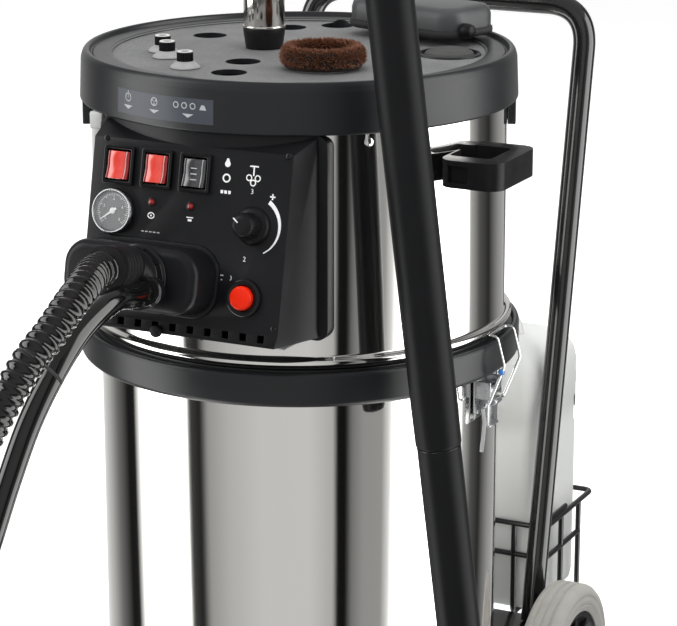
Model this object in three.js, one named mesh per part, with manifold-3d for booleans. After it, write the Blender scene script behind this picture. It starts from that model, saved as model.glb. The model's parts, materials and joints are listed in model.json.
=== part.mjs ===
// Drum steam cleaner with vacuum, on a trolley with push handle, can basket and parked wand.
// Units are millimetres, +Z up. The front of the machine faces -Y. The drums share one vertical axis.

import * as THREE from 'three';
import { mergeVertices } from 'three/addons/utils/BufferGeometryUtils.js';
import { ConvexGeometry } from 'three/addons/geometries/ConvexGeometry.js';
import Module from 'manifold-3d';

const wasm = await Module();
wasm.setup();

// ---------------------------------------------------------------- driving dimensions

const GAP = 0.3;                    // clearance between pieces that touch
const AXIS_X = -11;                 // drum axis, measured from the middle of the whole machine
const AXIS_Y = -41.1;

const WHEEL_R = 92;                 // rear wheels
const WHEEL_WIDTH = 42;
const WHEEL_X = 215;
const AXLE_Y = 195;
const AXLE_R = 7;
const HUB_R = 63;

const BASE_BOTTOM = 104;            // trolley plate
const BASE_TOP = 120;
const CASTOR_X = 140;
const CASTOR_Y = -150;
const CASTOR_R = 37;
const CASTOR_TRAIL = 24;

const DRUM_R = 200;                 // lower drum, the recovery tank
const DRUM_TOP = 510;
const BAND_R = 220.3;
const BAND_LOW = 479;
const BAND_HIGH = 512;

const HEAD_R = 205;                 // upper drum, the machine head
const HEAD_LOW = 516;
const HEAD_HIGH = 766;
const BEAD_Z = 517.7;
const TRAY_LOW = 736.5;
const TRAY_TOP = 784.8;
const DECK_Z = 777;

const FACE_TILT = 12.05 * Math.PI / 180;   // control face leans back from the vertical
const FACE_Y = -226.1;
const FACE_Z = 644;

const LEG_X = 165;                  // push handle
const LEG_R = 12;
const LEG_LEAN = 0.191;             // how far the legs lean back for each unit of height
const LEG_FOOT_Y = 209.8;           // where the lean would meet the floor
const HANDLE_Z = 784;

const WAND_FOOT = new THREE.Vector3(259.3, -152.2, 150);
const WAND_TOP = new THREE.Vector3(176.6, -194.3, 960);

const HOSE_R = 15.5;                // suction hose
const STEAM_R = 11;                 // steam hose

const DRUM_ROUND = 32;              // facets of the drums, of other round pieces and of pins
const ROUND = 20;
const SMALL_ROUND = 12;
const WHEEL_ROUND = 28;
const CASTOR_ROUND = 16;

const BLACK = 0x151618;
const ANTHRACITE = 0x3c3e42;

// ---------------------------------------------------------------- helpers

const machine = new THREE.Group();
machine.position.set(AXIS_X, AXIS_Y, 0);

function place(name, geometry, colour, roughness, metalness, parent = machine) {
  const material = new THREE.MeshStandardMaterial({ color: colour, roughness, metalness });
  const mesh = new THREE.Mesh(geometry, material);
  mesh.name = name;
  parent.add(mesh);
  return mesh;
}

function toSolid(geometry) {
  const bare = geometry.clone();
  bare.deleteAttribute('normal');
  bare.deleteAttribute('uv');
  const merged = mergeVertices(bare, 1e-4);
  return new wasm.Manifold(new wasm.Mesh({
    numProp: 3,
    vertProperties: new Float32Array(merged.attributes.position.array),
    triVerts: new Uint32Array(merged.index.array),
  }));
}

function toGeometry(solid) {
  const mesh = solid.getMesh();
  const geometry = new THREE.BufferGeometry();
  geometry.setAttribute('position', new THREE.BufferAttribute(mesh.vertProperties, 3));
  geometry.setIndex(new THREE.BufferAttribute(mesh.triVerts, 1));
  return geometry;
}

function joined(...geometries) {
  return toGeometry(geometries.map(toSolid).reduce((a, b) => a.add(b)));
}

function cut(geometry, ...tools) {
  return toGeometry(tools.map(toSolid).reduce((a, b) => a.subtract(b), toSolid(geometry)));
}

// Solid of revolution about +Z; the profile lists [radius, height] anticlockwise.
function turned(profile, segments = ROUND) {
  const points = profile.map(([r, z]) => new THREE.Vector2(r, z));
  return new THREE.LatheGeometry(points, segments).rotateX(Math.PI / 2);
}

function ring(inner, outer, low, high, segments = ROUND) {
  return turned([[inner, low], [outer, low], [outer, high], [inner, high], [inner, low]], segments);
}

function rod(radius, low, high, segments = SMALL_ROUND) {
  return turned([[0, low], [radius, low], [radius, high], [0, high]], segments);
}

function block(x0, x1, y0, y1, z0, z1) {
  const geometry = new THREE.BoxGeometry(x1 - x0, y1 - y0, z1 - z0);
  return geometry.translate((x0 + x1) / 2, (y0 + y1) / 2, (z0 + z1) / 2);
}

// Turns a solid that stands along +Z so that it lies along +X, at the height of its own axis.
function alongX(geometry) {
  return geometry.rotateY(Math.PI / 2);
}

function alongY(geometry) {
  return geometry.rotateX(-Math.PI / 2);
}

function roundedOutline(x0, x1, y0, y1, radius) {
  const shape = new THREE.Shape();
  shape.moveTo(x0 + radius, y0);
  shape.lineTo(x1 - radius, y0);
  shape.absarc(x1 - radius, y0 + radius, radius, -Math.PI / 2, 0, false);
  shape.absarc(x1 - radius, y1 - radius, radius, 0, Math.PI / 2, false);
  shape.absarc(x0 + radius, y1 - radius, radius, Math.PI / 2, Math.PI, false);
  shape.absarc(x0 + radius, y0 + radius, radius, Math.PI, Math.PI * 1.5, false);
  return shape;
}

function extruded(shape, low, high, curveSegments = 6) {
  const depth = high - low;
  return new THREE.ExtrudeGeometry(shape, { depth, bevelEnabled: false, curveSegments }).translate(0, 0, low);
}

function circleShape(radius, sides) {
  const shape = new THREE.Shape();
  for (let i = 0; i < sides; i += 1) {
    const angle = (i / sides) * Math.PI * 2;
    const x = radius * Math.cos(angle);
    const y = radius * Math.sin(angle);
    if (i === 0) shape.moveTo(x, y);
    else shape.lineTo(x, y);
  }
  return shape;
}

function tube(curve, radius, steps, sides = 12) {
  return new THREE.ExtrudeGeometry(circleShape(radius, sides), {
    steps,
    extrudePath: curve,
    bevelEnabled: false,
  });
}

function vec(x, y, z) {
  return new THREE.Vector3(x, y, z);
}

// Straight stretches joined by round bends of one radius, as one path.
function bentPath(corners, radius) {
  const path = new THREE.CurvePath();
  let from = corners[0];
  for (let i = 1; i < corners.length - 1; i += 1) {
    const corner = corners[i];
    const back = from.clone().sub(corner).normalize().multiplyScalar(radius).add(corner);
    const on = corners[i + 1].clone().sub(corner).normalize().multiplyScalar(radius).add(corner);
    path.add(new THREE.LineCurve3(from, back));
    path.add(new THREE.QuadraticBezierCurve3(back, corner, on));
    from = on;
  }
  path.add(new THREE.LineCurve3(from, corners[corners.length - 1]));
  return path;
}

// ---------------------------------------------------------------- trolley

function legAt(z) {
  return LEG_FOOT_Y + LEG_LEAN * z;
}

function addTrolley() {
  const outline = roundedOutline(-186, 186, -205, 252, 30);
  for (const side of [-1, 1]) {
    const socket = new THREE.Path();
    socket.absarc(side * CASTOR_X, CASTOR_Y, 7, 0, Math.PI * 2, true);
    outline.holes.push(socket);
  }
  const plate = extruded(outline, BASE_BOTTOM, BASE_TOP, 4);
  const bearings = [-1, 1].map((side) => block(
    side * 160 - 14,
    side * 160 + 14,
    AXLE_Y - 24,
    AXLE_Y + 24,
    WHEEL_R - 14,
    BASE_BOTTOM + 1,
  ));
  const bore = alongX(rod(AXLE_R + GAP, -190, 190)).translate(0, AXLE_Y, WHEEL_R);
  place('trolley_base', cut(joined(plate, ...bearings), bore), BLACK, 0.55, 0);

  const axle = alongX(rod(AXLE_R, -233, 233)).translate(0, AXLE_Y, WHEEL_R);
  place('rear_axle', axle, 0xb8babd, 0.3, 1);

  const low = BASE_TOP + 2.6;
  const handle = bentPath([
    vec(-LEG_X, legAt(low), low),
    vec(-LEG_X, legAt(HANDLE_Z), HANDLE_Z),
    vec(LEG_X, legAt(HANDLE_Z), HANDLE_Z),
    vec(LEG_X, legAt(low), low),
  ], 42);
  place('push_handle', tube(handle, LEG_R, 30, 10), BLACK, 0.2, 0);
}

function addWheel(name, side) {
  const x = side * WHEEL_X;
  const half = WHEEL_WIDTH / 2;
  // A flat lies at the bottom, so the wheel rests on a facet.
  const turn = Math.PI / WHEEL_ROUND;
  const tyre = turned([
    [HUB_R + GAP, -half + 2],
    [WHEEL_R - 9, -half],
    [WHEEL_R, -half + 9],
    [WHEEL_R, half - 9],
    [WHEEL_R - 9, half],
    [HUB_R + GAP, half - 2],
    [HUB_R + GAP, -half + 2],
  ], WHEEL_ROUND);
  const scale = 1 / Math.cos(turn);
  tyre.rotateZ(turn);
  const tyreMesh = place(`wheel_tyre_${name}`, alongX(tyre), 0xb9b6ae, 0.8, 0);
  tyreMesh.scale.set(1, scale, scale);
  tyreMesh.position.set(x, AXLE_Y, WHEEL_R);

  const hub = turned([
    [AXLE_R + GAP, -half],
    [20, -half],
    [24, -half + 8],
    [52, -half + 8],
    [HUB_R, -half + 3],
    [HUB_R, half - 3],
    [52, half - 8],
    [24, half - 8],
    [20, half],
    [AXLE_R + GAP, half],
    [AXLE_R + GAP, -half],
  ], WHEEL_ROUND);
  hub.rotateZ(turn);
  place(`wheel_hub_${name}`, alongX(hub), BLACK, 0.5, 0).position.set(x, AXLE_Y, WHEEL_R);
}

function addCastor(name, side) {
  const fork = new THREE.Group();
  fork.position.set(side * CASTOR_X, CASTOR_Y, 0);
  machine.add(fork);
  const axleZ = CASTOR_R;
  const cheeks = [-1, 1].map((s) => {
    const outline = new THREE.Shape();
    outline.moveTo(-16, 92);
    outline.lineTo(CASTOR_TRAIL - 9, axleZ - 2);
    outline.absarc(CASTOR_TRAIL, axleZ, 10, Math.PI, Math.PI * 2, false);
    outline.lineTo(24, 92);
    const cheek = extruded(outline, -1.5, 1.5, 5);
    return cheek.rotateX(Math.PI / 2).rotateZ(Math.PI / 2).translate(s * 16, 0, 0);
  });
  const crown = block(-17.5, 17.5, -16, 24, 88, 92);
  const raceway = rod(17, 91, BASE_BOTTOM - GAP);
  const stem = rod(6, 100, BASE_TOP - 4);
  const pin = alongX(rod(4, -18, 18)).translate(0, CASTOR_TRAIL, axleZ);
  place(`castor_fork_${name}`, joined(crown, raceway, stem, pin, ...cheeks), 0x9a9da0, 0.35, 1, fork);

  const turn = Math.PI / CASTOR_ROUND;
  const wheel = turned([
    [4 + GAP, -12],
    [CASTOR_R - 4, -12],
    [CASTOR_R, -8],
    [CASTOR_R, 8],
    [CASTOR_R - 4, 12],
    [4 + GAP, 12],
    [4 + GAP, -12],
  ], CASTOR_ROUND);
  wheel.rotateZ(turn);
  const mesh = place(`castor_wheel_${name}`, alongX(wheel), 0x4a4b4d, 0.7, 0, fork);
  const scale = 1 / Math.cos(turn);
  mesh.scale.set(1, scale, scale);
  mesh.position.set(0, CASTOR_TRAIL, axleZ);
}

// ---------------------------------------------------------------- wire basket and can

const BASKET = { x: 165, y0: 268.5, y1: 410, low: 111, mid: 182, high: 218, wire: 3 };

function addBasket() {
  const { x, y0, y1, low, mid, high, wire } = BASKET;
  const bar = (a, b, radius = wire) => {
    const length = a.distanceTo(b);
    const geometry = turned([[0, 0], [radius, 0], [radius, length], [0, length]], 5);
    const turn = new THREE.Quaternion().setFromUnitVectors(vec(0, 0, 1), b.clone().sub(a).normalize());
    return geometry.applyQuaternion(turn).translate(a.x, a.y, a.z);
  };
  const pieces = [];
  const rails = [[vec(-x, y0, high), vec(x, y0, high), vec(x, y1, high), vec(-x, y1, high), vec(-x, y0, high)]];
  // The middle rail runs round the front and the sides, and stops at the rear hoop.
  rails.push([vec(-x, y1 - 40, mid), vec(-x, y0, mid), vec(x, y0, mid), vec(x, y1 - 40, mid)]);
  for (const corners of rails) {
    for (let i = 0; i < corners.length - 1; i += 1) {
      const along = corners[i + 1].clone().sub(corners[i]).normalize().multiplyScalar(wire);
      pieces.push(bar(corners[i].clone().sub(along), corners[i + 1].clone().add(along)));
    }
  }
  // Hoops run down one side, under the can and up the other.
  for (const y of [y0 + 48, y1 - 40]) {
    pieces.push(bar(vec(-x, y, low - wire), vec(-x, y, high + wire)));
    pieces.push(bar(vec(x, y, low - wire), vec(x, y, high + wire)));
    pieces.push(bar(vec(-x - wire, y, low), vec(x + wire, y, low)));
  }
  for (const across of [-128, 0, 128]) {
    pieces.push(bar(vec(across, y0, low - wire), vec(across, y0, high + wire)));
    pieces.push(bar(vec(across, y1, low - wire), vec(across, y1, high + wire)));
    pieces.push(bar(vec(across, y0 - wire, low), vec(across, y1 + wire, low)));
  }
  place('can_basket', joined(...pieces), BLACK, 0.35, 0);
}

const NECK_TOP = 430;

function addCan() {
  const low = BASKET.low + BASKET.wire + 0.5;
  const shoulder = 398;
  const outer = extruded(roundedOutline(-152, 152, 274, 404, 22), low, shoulder, 3);
  const top = new THREE.ExtrudeGeometry(roundedOutline(-137, 137, 289, 389, 14), {
    depth: 22,
    bevelEnabled: false,
    curveSegments: 4,
  }).translate(0, 0, shoulder - 1);
  const neck = rod(21, shoulder, NECK_TOP).translate(-92, 328, 0);
  const grip = cut(block(-40, 100, 316, 340, shoulder + 15, 445), block(-20, 80, 300, 356, shoulder + 21, 433));
  const inside = extruded(roundedOutline(-149.5, 149.5, 276.5, 401.5, 20), low + 2.5, shoulder - 2.5, 3);
  const throat = rod(17.5, shoulder - 10, NECK_TOP + 6).translate(-92, 328, 0);
  place('can_body', cut(joined(outer, top, neck, grip), inside, throat), 0xe9ebea, 0.45, 0);

  const cap = turned([
    [21.5, NECK_TOP - 9.5],
    [26, NECK_TOP - 9.5],
    [26, NECK_TOP + 10],
    [24, NECK_TOP + 12],
    [0, NECK_TOP + 12],
    [0, NECK_TOP + 1],
    [21.5, NECK_TOP + 1],
    [21.5, NECK_TOP - 9.5],
  ]);
  place('can_cap', cap, 0xf2f2f0, 0.4, 0).position.set(-92, 328, 0);
}

// ---------------------------------------------------------------- lower drum

function addLowerDrum() {
  const low = BASE_TOP + GAP;
  place('lower_drum', turned([
    [0, low],
    [DRUM_R - 6, low],
    [DRUM_R, low + 6],
    [DRUM_R, DRUM_TOP],
    [DRUM_R - 2, DRUM_TOP],
    [DRUM_R - 2, low + 7],
    [DRUM_R - 7, low + 2],
    [0, low + 2],
  ], DRUM_ROUND), 0xd8dadb, 0.08, 1);

  place('drum_band', turned([
    [DRUM_R + GAP, BAND_LOW],
    [BAND_R - 2, BAND_LOW],
    [BAND_R, BAND_LOW + 3],
    [BAND_R, BAND_HIGH - 3],
    [BAND_R - 3, BAND_HIGH],
    [DRUM_R + GAP, BAND_HIGH],
    [DRUM_R + GAP, BAND_LOW],
  ], DRUM_ROUND), ANTHRACITE, 0.55, 0);
}

// The latch stands on the drum wall under the band; its wire bail hooks over the edge of the head.
const LATCH = { y: -6, pinX: 213, pinZ: 462, hookX: 217.5, hookZ: 450 };

function addLatch(name, side) {
  const latch = new THREE.Group();
  latch.position.set(0, LATCH.y, 0);
  machine.add(latch);
  const mirror = (geometry) => (side > 0 ? geometry : geometry.rotateZ(Math.PI));
  const steel = [0xc9cbcd, 0.25, 1];

  const plate = block(DRUM_R + GAP, DRUM_R + 2.5, -17, 17, 432, 477);
  const ears = [-1, 1].map((s) => block(DRUM_R + 1, LATCH.pinX + 5, s * 14.5 - 1.5, s * 14.5 + 1.5, 454, 472));
  const pin = alongY(rod(2, -15, 15, 8)).translate(LATCH.pinX, 0, LATCH.pinZ);
  place(`latch_base_${name}`, mirror(joined(plate, pin, ...ears)), ...steel, latch);

  const barrel = alongY(rod(4.5, -12, 12, SMALL_ROUND)).translate(LATCH.pinX, 0, LATCH.pinZ);
  const blade = block(LATCH.pinX - 1, LATCH.pinX + 2, -11, 11, 424, LATCH.pinZ);
  const knuckle = block(LATCH.pinX, LATCH.hookX + 4, -8, 8, LATCH.hookZ - 4, LATCH.hookZ + 4);
  const pinBore = alongY(rod(2 + GAP, -20, 20, 8)).translate(LATCH.pinX, 0, LATCH.pinZ);
  const hookBore = alongY(rod(1.4 + GAP, -20, 20, 8)).translate(LATCH.hookX, 0, LATCH.hookZ);
  const lever = cut(joined(barrel, blade, knuckle), pinBore, hookBore);
  place(`latch_lever_${name}`, mirror(lever), ...steel, latch);

  const half = 20;
  const bail = bentPath([
    vec(LATCH.hookX, -2, LATCH.hookZ),
    vec(LATCH.hookX, -half, LATCH.hookZ),
    vec(234, -half, 492),
    vec(226, -half, 521),
    vec(217.5, -half, 521),
    vec(217.5, half, 521),
    vec(226, half, 521),
    vec(234, half, 492),
    vec(LATCH.hookX, half, LATCH.hookZ),
    vec(LATCH.hookX, 2, LATCH.hookZ),
  ], 4);
  place(`latch_bail_${name}`, mirror(tube(bail, 1.3, 34, 6)), ...steel, latch);
}

// ---------------------------------------------------------------- machine head

function addHead() {
  place('upper_drum', turned([
    [HEAD_R - 2, HEAD_LOW],
    [HEAD_R + 4.5, HEAD_LOW],
    [HEAD_R + 7.6, HEAD_LOW + 1.8],
    [HEAD_R + 7.6, BEAD_Z + 2.6],
    [HEAD_R + 4.5, BEAD_Z + 5],
    [HEAD_R, BEAD_Z + 4],
    [HEAD_R, HEAD_HIGH],
    [HEAD_R - 2, HEAD_HIGH],
    [HEAD_R - 2, HEAD_LOW],
  ], DRUM_ROUND), 0xdadcdd, 0.08, 1);
  place('head_seal', ring(188, 203, DRUM_TOP + 2.2, HEAD_LOW - GAP, 24), 0x111111, 0.8, 0);

  const deckPlate = ring(40, HEAD_R - 3.5, HEAD_LOW, HEAD_LOW + 3, 24);
  place('bulkhead', deckPlate, 0x2b2c2e, 0.6, 0);

  const floor = HEAD_LOW + 3 + GAP;
  const boiler = turned([
    [0, floor],
    [48, floor],
    [70, floor + 16],
    [70, floor + 124],
    [48, floor + 140],
    [0, floor + 140],
  ]);
  place('boiler', boiler, 0xb9bbbd, 0.3, 1).position.set(-92, 72, 0);

  const motor = turned([
    [0, floor],
    [66, floor],
    [66, floor + 44],
    [46, floor + 50],
    [46, floor + 120],
    [0, floor + 120],
  ]);
  place('suction_motor', motor, 0x55585c, 0.4, 1).position.set(88, 84, 0);

  const pumpBody = block(60, 130, -70, -30, floor, floor + 46);
  const pumpCoil = alongX(rod(20, 64, 126, 16)).translate(0, -50, floor + 60);
  place('water_pump', joined(pumpBody, pumpCoil), 0x6d5a3a, 0.5, 0);

  // The float cage hangs through the bulkhead; the ball shuts the suction port when the tank is full.
  const cageLow = 424;
  const cage = turned([
    [0, cageLow],
    [36, cageLow],
    [36, 540],
    [33, 540],
    [33, cageLow + 3],
    [0, cageLow + 3],
  ]);
  const windows = [block(-60, 60, -9, 9, 440, 495), block(-9, 9, -60, 60, 440, 495)];
  place('float_cage', cut(cage, ...windows), 0x2f3133, 0.6, 0);
  place('float_ball', new THREE.SphereGeometry(27, 14, 8), 0xe8e6dc, 0.4, 0).position.set(0, 0, 455);
}

// ---------------------------------------------------------------- control housing

// Group whose X runs across the control face, Y up it and Z out of it.
const face = new THREE.Group();
face.position.set(0, FACE_Y, FACE_Z);
face.rotation.x = Math.PI / 2 - FACE_TILT;
machine.add(face);
face.updateMatrix();

const ROCKERS = [-78.5, -38, 2.5];
const ROCKER_V = 55;

function housingHull(inset) {
  const points = [];
  const wide = 1 - inset / 100;
  // [x left, x right, y, z] from the face edge back to the drum wall.
  const rows = [
    [-108, 101, FACE_Y + 16.6, 722 - inset],
    [-108, 101, FACE_Y - 17.4, 562 + inset],
    [-105, 98, FACE_Y - 20, 549.5 + inset],
    [-112, 112, -176, TRAY_LOW - 1 - inset],
    [-112, 112, -176, 545 + inset],
  ];
  for (const [left, right, y, z] of rows) {
    points.push(vec(left * wide, y + inset, z), vec(right * wide, y + inset, z));
  }
  return new ConvexGeometry(points);
}

function onFace(geometry) {
  return geometry.applyMatrix4(face.matrix);
}

function addControlHousing() {
  const drum = rod(HEAD_R + GAP, 500, TRAY_LOW + 3, DRUM_ROUND);
  const ledge = rod(HEAD_R + 8, 500, BEAD_Z + 5.6, DRUM_ROUND);
  const pockets = ROCKERS.map((x) => onFace(block(x - 12.5, x + 12.5, ROCKER_V - 14.5, ROCKER_V + 14.5, -12, 6)));
  const frames = ROCKERS.map((x) => onFace(block(x - 16, x + 16, ROCKER_V - 18, ROCKER_V + 18, -2, 2.5)));
  const collar = onFace(ring(12.6, 17.5, -1, 5, 24).translate(64, -53.5, 0));
  const slots = [];
  for (let i = 0; i < 10; i += 1) {
    const x = -82 + i * 18.4;
    slots.push(block(x - 3.5, x + 3.5, -260, -225, 553, 560));
  }
  const shell = cut(housingHull(0), housingHull(3).translate(0, 0.5, 0));
  const rim = roundedOutline(-120, 120, 542, TRAY_LOW - GAP, 12);
  const flange = extruded(rim, 150, 180).rotateX(Math.PI / 2);
  const core = block(-106, 106, -190, -140, 552, 724);
  const dressed = cut(joined(shell, cut(flange, core), ...frames, collar), ...pockets, ...slots, drum, ledge);
  place('control_housing', dressed, BLACK, 0.35, 0);

  ROCKERS.forEach((x, i) => {
    const profile = new THREE.Shape();
    profile.moveTo(0, 3.6);
    profile.lineTo(-13, 6.4);
    profile.lineTo(-12.6, -1);
    profile.lineTo(-4, -8);
    profile.lineTo(4, -8);
    profile.lineTo(12.6, -1);
    profile.lineTo(13, 3.6);
    const rocker = extruded(profile, -11.5, 11.5);
    rocker.applyMatrix4(new THREE.Matrix4().makeBasis(vec(0, 1, 0), vec(0, 0, 1), vec(1, 0, 0)));
    const mesh = place(`rocker_${i + 1}`, rocker, i < 2 ? 0xd0241c : 0x2a2a2c, 0.25, 0, face);
    mesh.position.set(x, ROCKER_V, 0);
  });

  const gauge = turned([
    [0, GAP],
    [21, GAP],
    [21, 7],
    [18.5, 7],
    [18.5, 3],
    [0, 3],
  ]);
  place('gauge_body', gauge, 0x8f9396, 0.3, 0.6, face).position.set(-80, 12, 0);
  const needle = joined(rod(2.6, 3.4, 5.6, 12), block(-14, 3, -0.8, 0.8, 3.6, 4.8).rotateZ(Math.PI / 5));
  place('gauge_needle', needle, 0xffffff, 0.4, 0, face).position.set(-80, 12, 0);
  place('gauge_lens', rod(18.2, 6, 7, ROUND), 0xeef2f4, 0.05, 0, face).position.set(-80, 12, 0);

  const knob = turned([
    [0, GAP],
    [17.5, GAP],
    [16, 6],
    [11.5, 8],
    [10.5, 23],
    [8, 25],
    [0, 25],
  ]);
  place('regulator_knob', knob, BLACK, 0.45, 0, face).position.set(66, 13, 0);

  const button = turned([
    [0, 4],
    [12, 4],
    [12, 9],
    [9, 11],
    [0, 11.5],
  ]);
  place('push_button', button, 0xd8261c, 0.25, 0, face).position.set(64, -53.5, 0);
}

// ---------------------------------------------------------------- hose connector

// The connector stands on the control face; its plug holds both hoses.
const CONNECTOR = { left: -108, right: 33, low: -75, high: -14, depth: 41 };
const PLUG = { x: -26.5, v: -43.6, radius: 27 };
const SUCTION_PORT = { x: -25, v: -33, w: 100 };
const STEAM_PORT = { x: -4, v: -54, w: 66 };
const SUCTION_END_Y = -330.8;
const STEAM_END_Y = -302;

function addConnector() {
  const { left, right, low, high, depth } = CONNECTOR;
  const outer = extruded(roundedOutline(left, right, low, high, 24), GAP, depth, 4);
  const hollow = extruded(roundedOutline(left + 3, right - 3, low + 3, high - 3, 21), -1, depth - 3, 4);
  const port = rod(15, depth - 10, depth + 10).translate(PLUG.x, PLUG.v, 0);
  place('connector_box', cut(outer, hollow, port), BLACK, 0.35, 0, face);

  const flange = rod(PLUG.radius, depth + GAP, depth + 12).translate(PLUG.x, PLUG.v, 0);
  const neck = [];
  const rim = [
    [PLUG.x, PLUG.v, PLUG.radius - 1, depth + 11],
    [SUCTION_PORT.x, SUCTION_PORT.v, 19, depth + 26],
    [STEAM_PORT.x, STEAM_PORT.v, 12.5, depth + 20],
  ];
  for (const [x, v, radius, w] of rim) {
    for (let i = 0; i < SMALL_ROUND; i += 1) {
      const angle = (i / SMALL_ROUND) * Math.PI * 2;
      neck.push(vec(x + radius * Math.cos(angle), v + radius * Math.sin(angle), w));
    }
  }
  const suctionCuff = turned([[0, depth + 20], [18.5, depth + 20], [18.5, SUCTION_PORT.w], [0, SUCTION_PORT.w]]);
  const steamCuff = rod(12.5, depth + 15, STEAM_PORT.w);
  suctionCuff.translate(SUCTION_PORT.x, SUCTION_PORT.v, 0);
  steamCuff.translate(STEAM_PORT.x, STEAM_PORT.v, 0);
  const plug = onFace(joined(flange, new ConvexGeometry(neck), suctionCuff, steamCuff));
  // Both cuffs end upright, so the head lifts off without dragging them across the hoses.
  const beyondSuction = block(-60, 10, -360, SUCTION_END_Y, 600, 680);
  const beyondSteam = block(-30, 30, -360, STEAM_END_Y, 570, 617);
  place('hose_plug', cut(plug, beyondSuction, beyondSteam), BLACK, 0.3, 0);
}

// ---------------------------------------------------------------- carrying handles and rear bracket

function addSideHandle(name, side) {
  const outline = roundedOutline(150, 258, -105, -11, 14);
  const gap = new THREE.Path();
  gap.moveTo(160, -84);
  gap.lineTo(160, -30);
  gap.lineTo(240, -30);
  gap.lineTo(240, -84);
  outline.holes.push(gap);
  const body = extruded(outline, 682, 708, 4);
  const inner = rod(HEAD_R + GAP, 600, 730, DRUM_ROUND);
  const stub = cut(body, inner, block(0, 172, -200, 200, 600, 730), block(0, 204, -86, -26, 600, 730));
  // The two handles stand opposite each other across the drum.
  if (side < 0) stub.rotateZ(Math.PI);
  place(`side_handle_${name}`, stub, BLACK, 0.55, 0);
}

function addMainsInlet() {
  const flange = alongY(rod(16, 0, 3)).translate(60, 0, 566);
  const gland = alongY(turned([[0, 2], [9, 2], [9, 20], [7, 24], [0, 24]], 16)).translate(60, 0, 566);
  place('mains_inlet', joined(flange, gland), BLACK, 0.5, 0).position.set(0, HEAD_R + GAP - 0.2, 0);
}

// ---------------------------------------------------------------- accessory tray

const TRAY_HOLES = [[-127, 49], [-77, 130], [-38, 163], [-24, -72], [-8, -130], [138, 52]];

function addTray() {
  const shell = turned([
    [HEAD_R + 1, TRAY_LOW],
    [215.8, TRAY_LOW],
    [213.8, TRAY_TOP - 10],
    [212, TRAY_TOP - 2],
    [209, TRAY_TOP],
    [204, TRAY_TOP],
    [202, TRAY_TOP - 4],
    [184, TRAY_TOP - 4],
    [181, DECK_Z],
    [0, DECK_Z],
    [0, DECK_Z - 5],
    [201, DECK_Z - 5],
    [HEAD_R + 1, DECK_Z - 9],
    [HEAD_R + 1, TRAY_LOW],
  ], DRUM_ROUND);
  const holes = TRAY_HOLES.map(([x, y], i) => {
    const wide = i === TRAY_HOLES.length - 1;
    return rod(wide ? 26 : 17, DECK_Z - 20, DECK_Z + 20).translate(x, y, 0);
  });
  place('top_tray', cut(shell, ...holes), ANTHRACITE, 0.6, 0);
}

function addAccessories() {
  const deck = DECK_Z + GAP;
  place('steel_tube', turned([
    [16, deck],
    [19, deck],
    [22.5, deck + 26],
    [20.5, deck + 27],
    [20.5, deck + 178],
    [18.5, deck + 178],
    [18.5, deck + 20],
    [16, deck],
  ]), 0xcfd1d2, 0.1, 1).position.set(-43, 8, 0);

  place('brush_ring', turned([
    [26, deck],
    [37, deck],
    [42, deck + 8],
    [41, deck + 22],
    [36, deck + 27],
    [28, deck + 24],
    [26, deck],
  ]), 0x7a4024, 0.9, 0).position.set(60, -68, 0);

  [[-122, -56], [-101, -84], [-57, -127]].forEach(([x, y], i) => {
    const brush = turned([
      [0, deck],
      [14.5, deck],
      [7.8, deck + 6.5],
      [7.8, deck + 16],
      [0, deck + 16],
    ], SMALL_ROUND);
    place(`small_brush_${i + 1}`, brush, 0x6d6f72, 0.6, 0).position.set(x, y, 0);
  });

  const pad = extruded(roundedOutline(-72, 72, -38, 38, 18), 0, 30, 4);
  const padMesh = place('pad_tool', pad, 0xb4b6b8, 0.7, 0);
  padMesh.position.set(70, 134, TRAY_TOP + GAP);
  padMesh.rotation.z = -0.28;
}

// ---------------------------------------------------------------- wand

function addWand() {
  const axis = WAND_TOP.clone().sub(WAND_FOOT);
  const length = axis.length();
  const wand = new THREE.Group();
  wand.position.copy(WAND_FOOT);
  wand.quaternion.setFromUnitVectors(vec(0, 0, 1), axis.clone().normalize());
  machine.add(wand);
  wand.updateMatrix();

  const joint = 306;
  place('wand_lower', turned([
    [17.5, 0],
    [20.5, 0],
    [20.5, joint],
    [18.6, joint],
    [18.6, joint + 40],
    [16.6, joint + 40],
    [16.6, 80],
    [17.5, 80],
    [17.5, 0],
  ]), 0x2c2d2f, 0.4, 0, wand);
  place('wand_upper', turned([
    [18.9, joint + GAP],
    [21.8, joint + GAP],
    [21.8, length],
    [18.9, length],
    [18.9, joint + GAP],
  ]), 0x2c2d2f, 0.4, 0, wand);

  // A peg inside the foot of the wand keeps it upright beside the drum.
  const arm = block(150, 280, -172, -132, BASE_TOP + GAP, BASE_TOP + 8);
  const peg = rod(16.5, -28, 66).applyMatrix4(wand.matrix);
  const below = block(200, 320, -230, -80, 100, BASE_TOP + GAP);
  place('wand_holder', cut(joined(arm, peg), below), BLACK, 0.5, 0);
}

// ---------------------------------------------------------------- hoses and gun

// Each stretch runs from the plug down towards the coil, which lies on the floor.
const SUCTION_ROUTE = [
  [-25, -331.1, 632.7],
  [-25, -352, 632.7],
  [-13, -385, 632],
  [-8, -420, 622],
  [-11, -450, 602],
  [-16, -473, 586],
  [-28, -498, 551],
  [-46, -514, 508],
  [-68, -526, 458],
  [-90, -537, 402],
  [-107, -544, 342],
  [-119, -550, 280],
  [-129, -556, 218],
  [-138, -562, 160],
  [-151, -572, 107],
  [-172, -586, 64],
];

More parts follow.
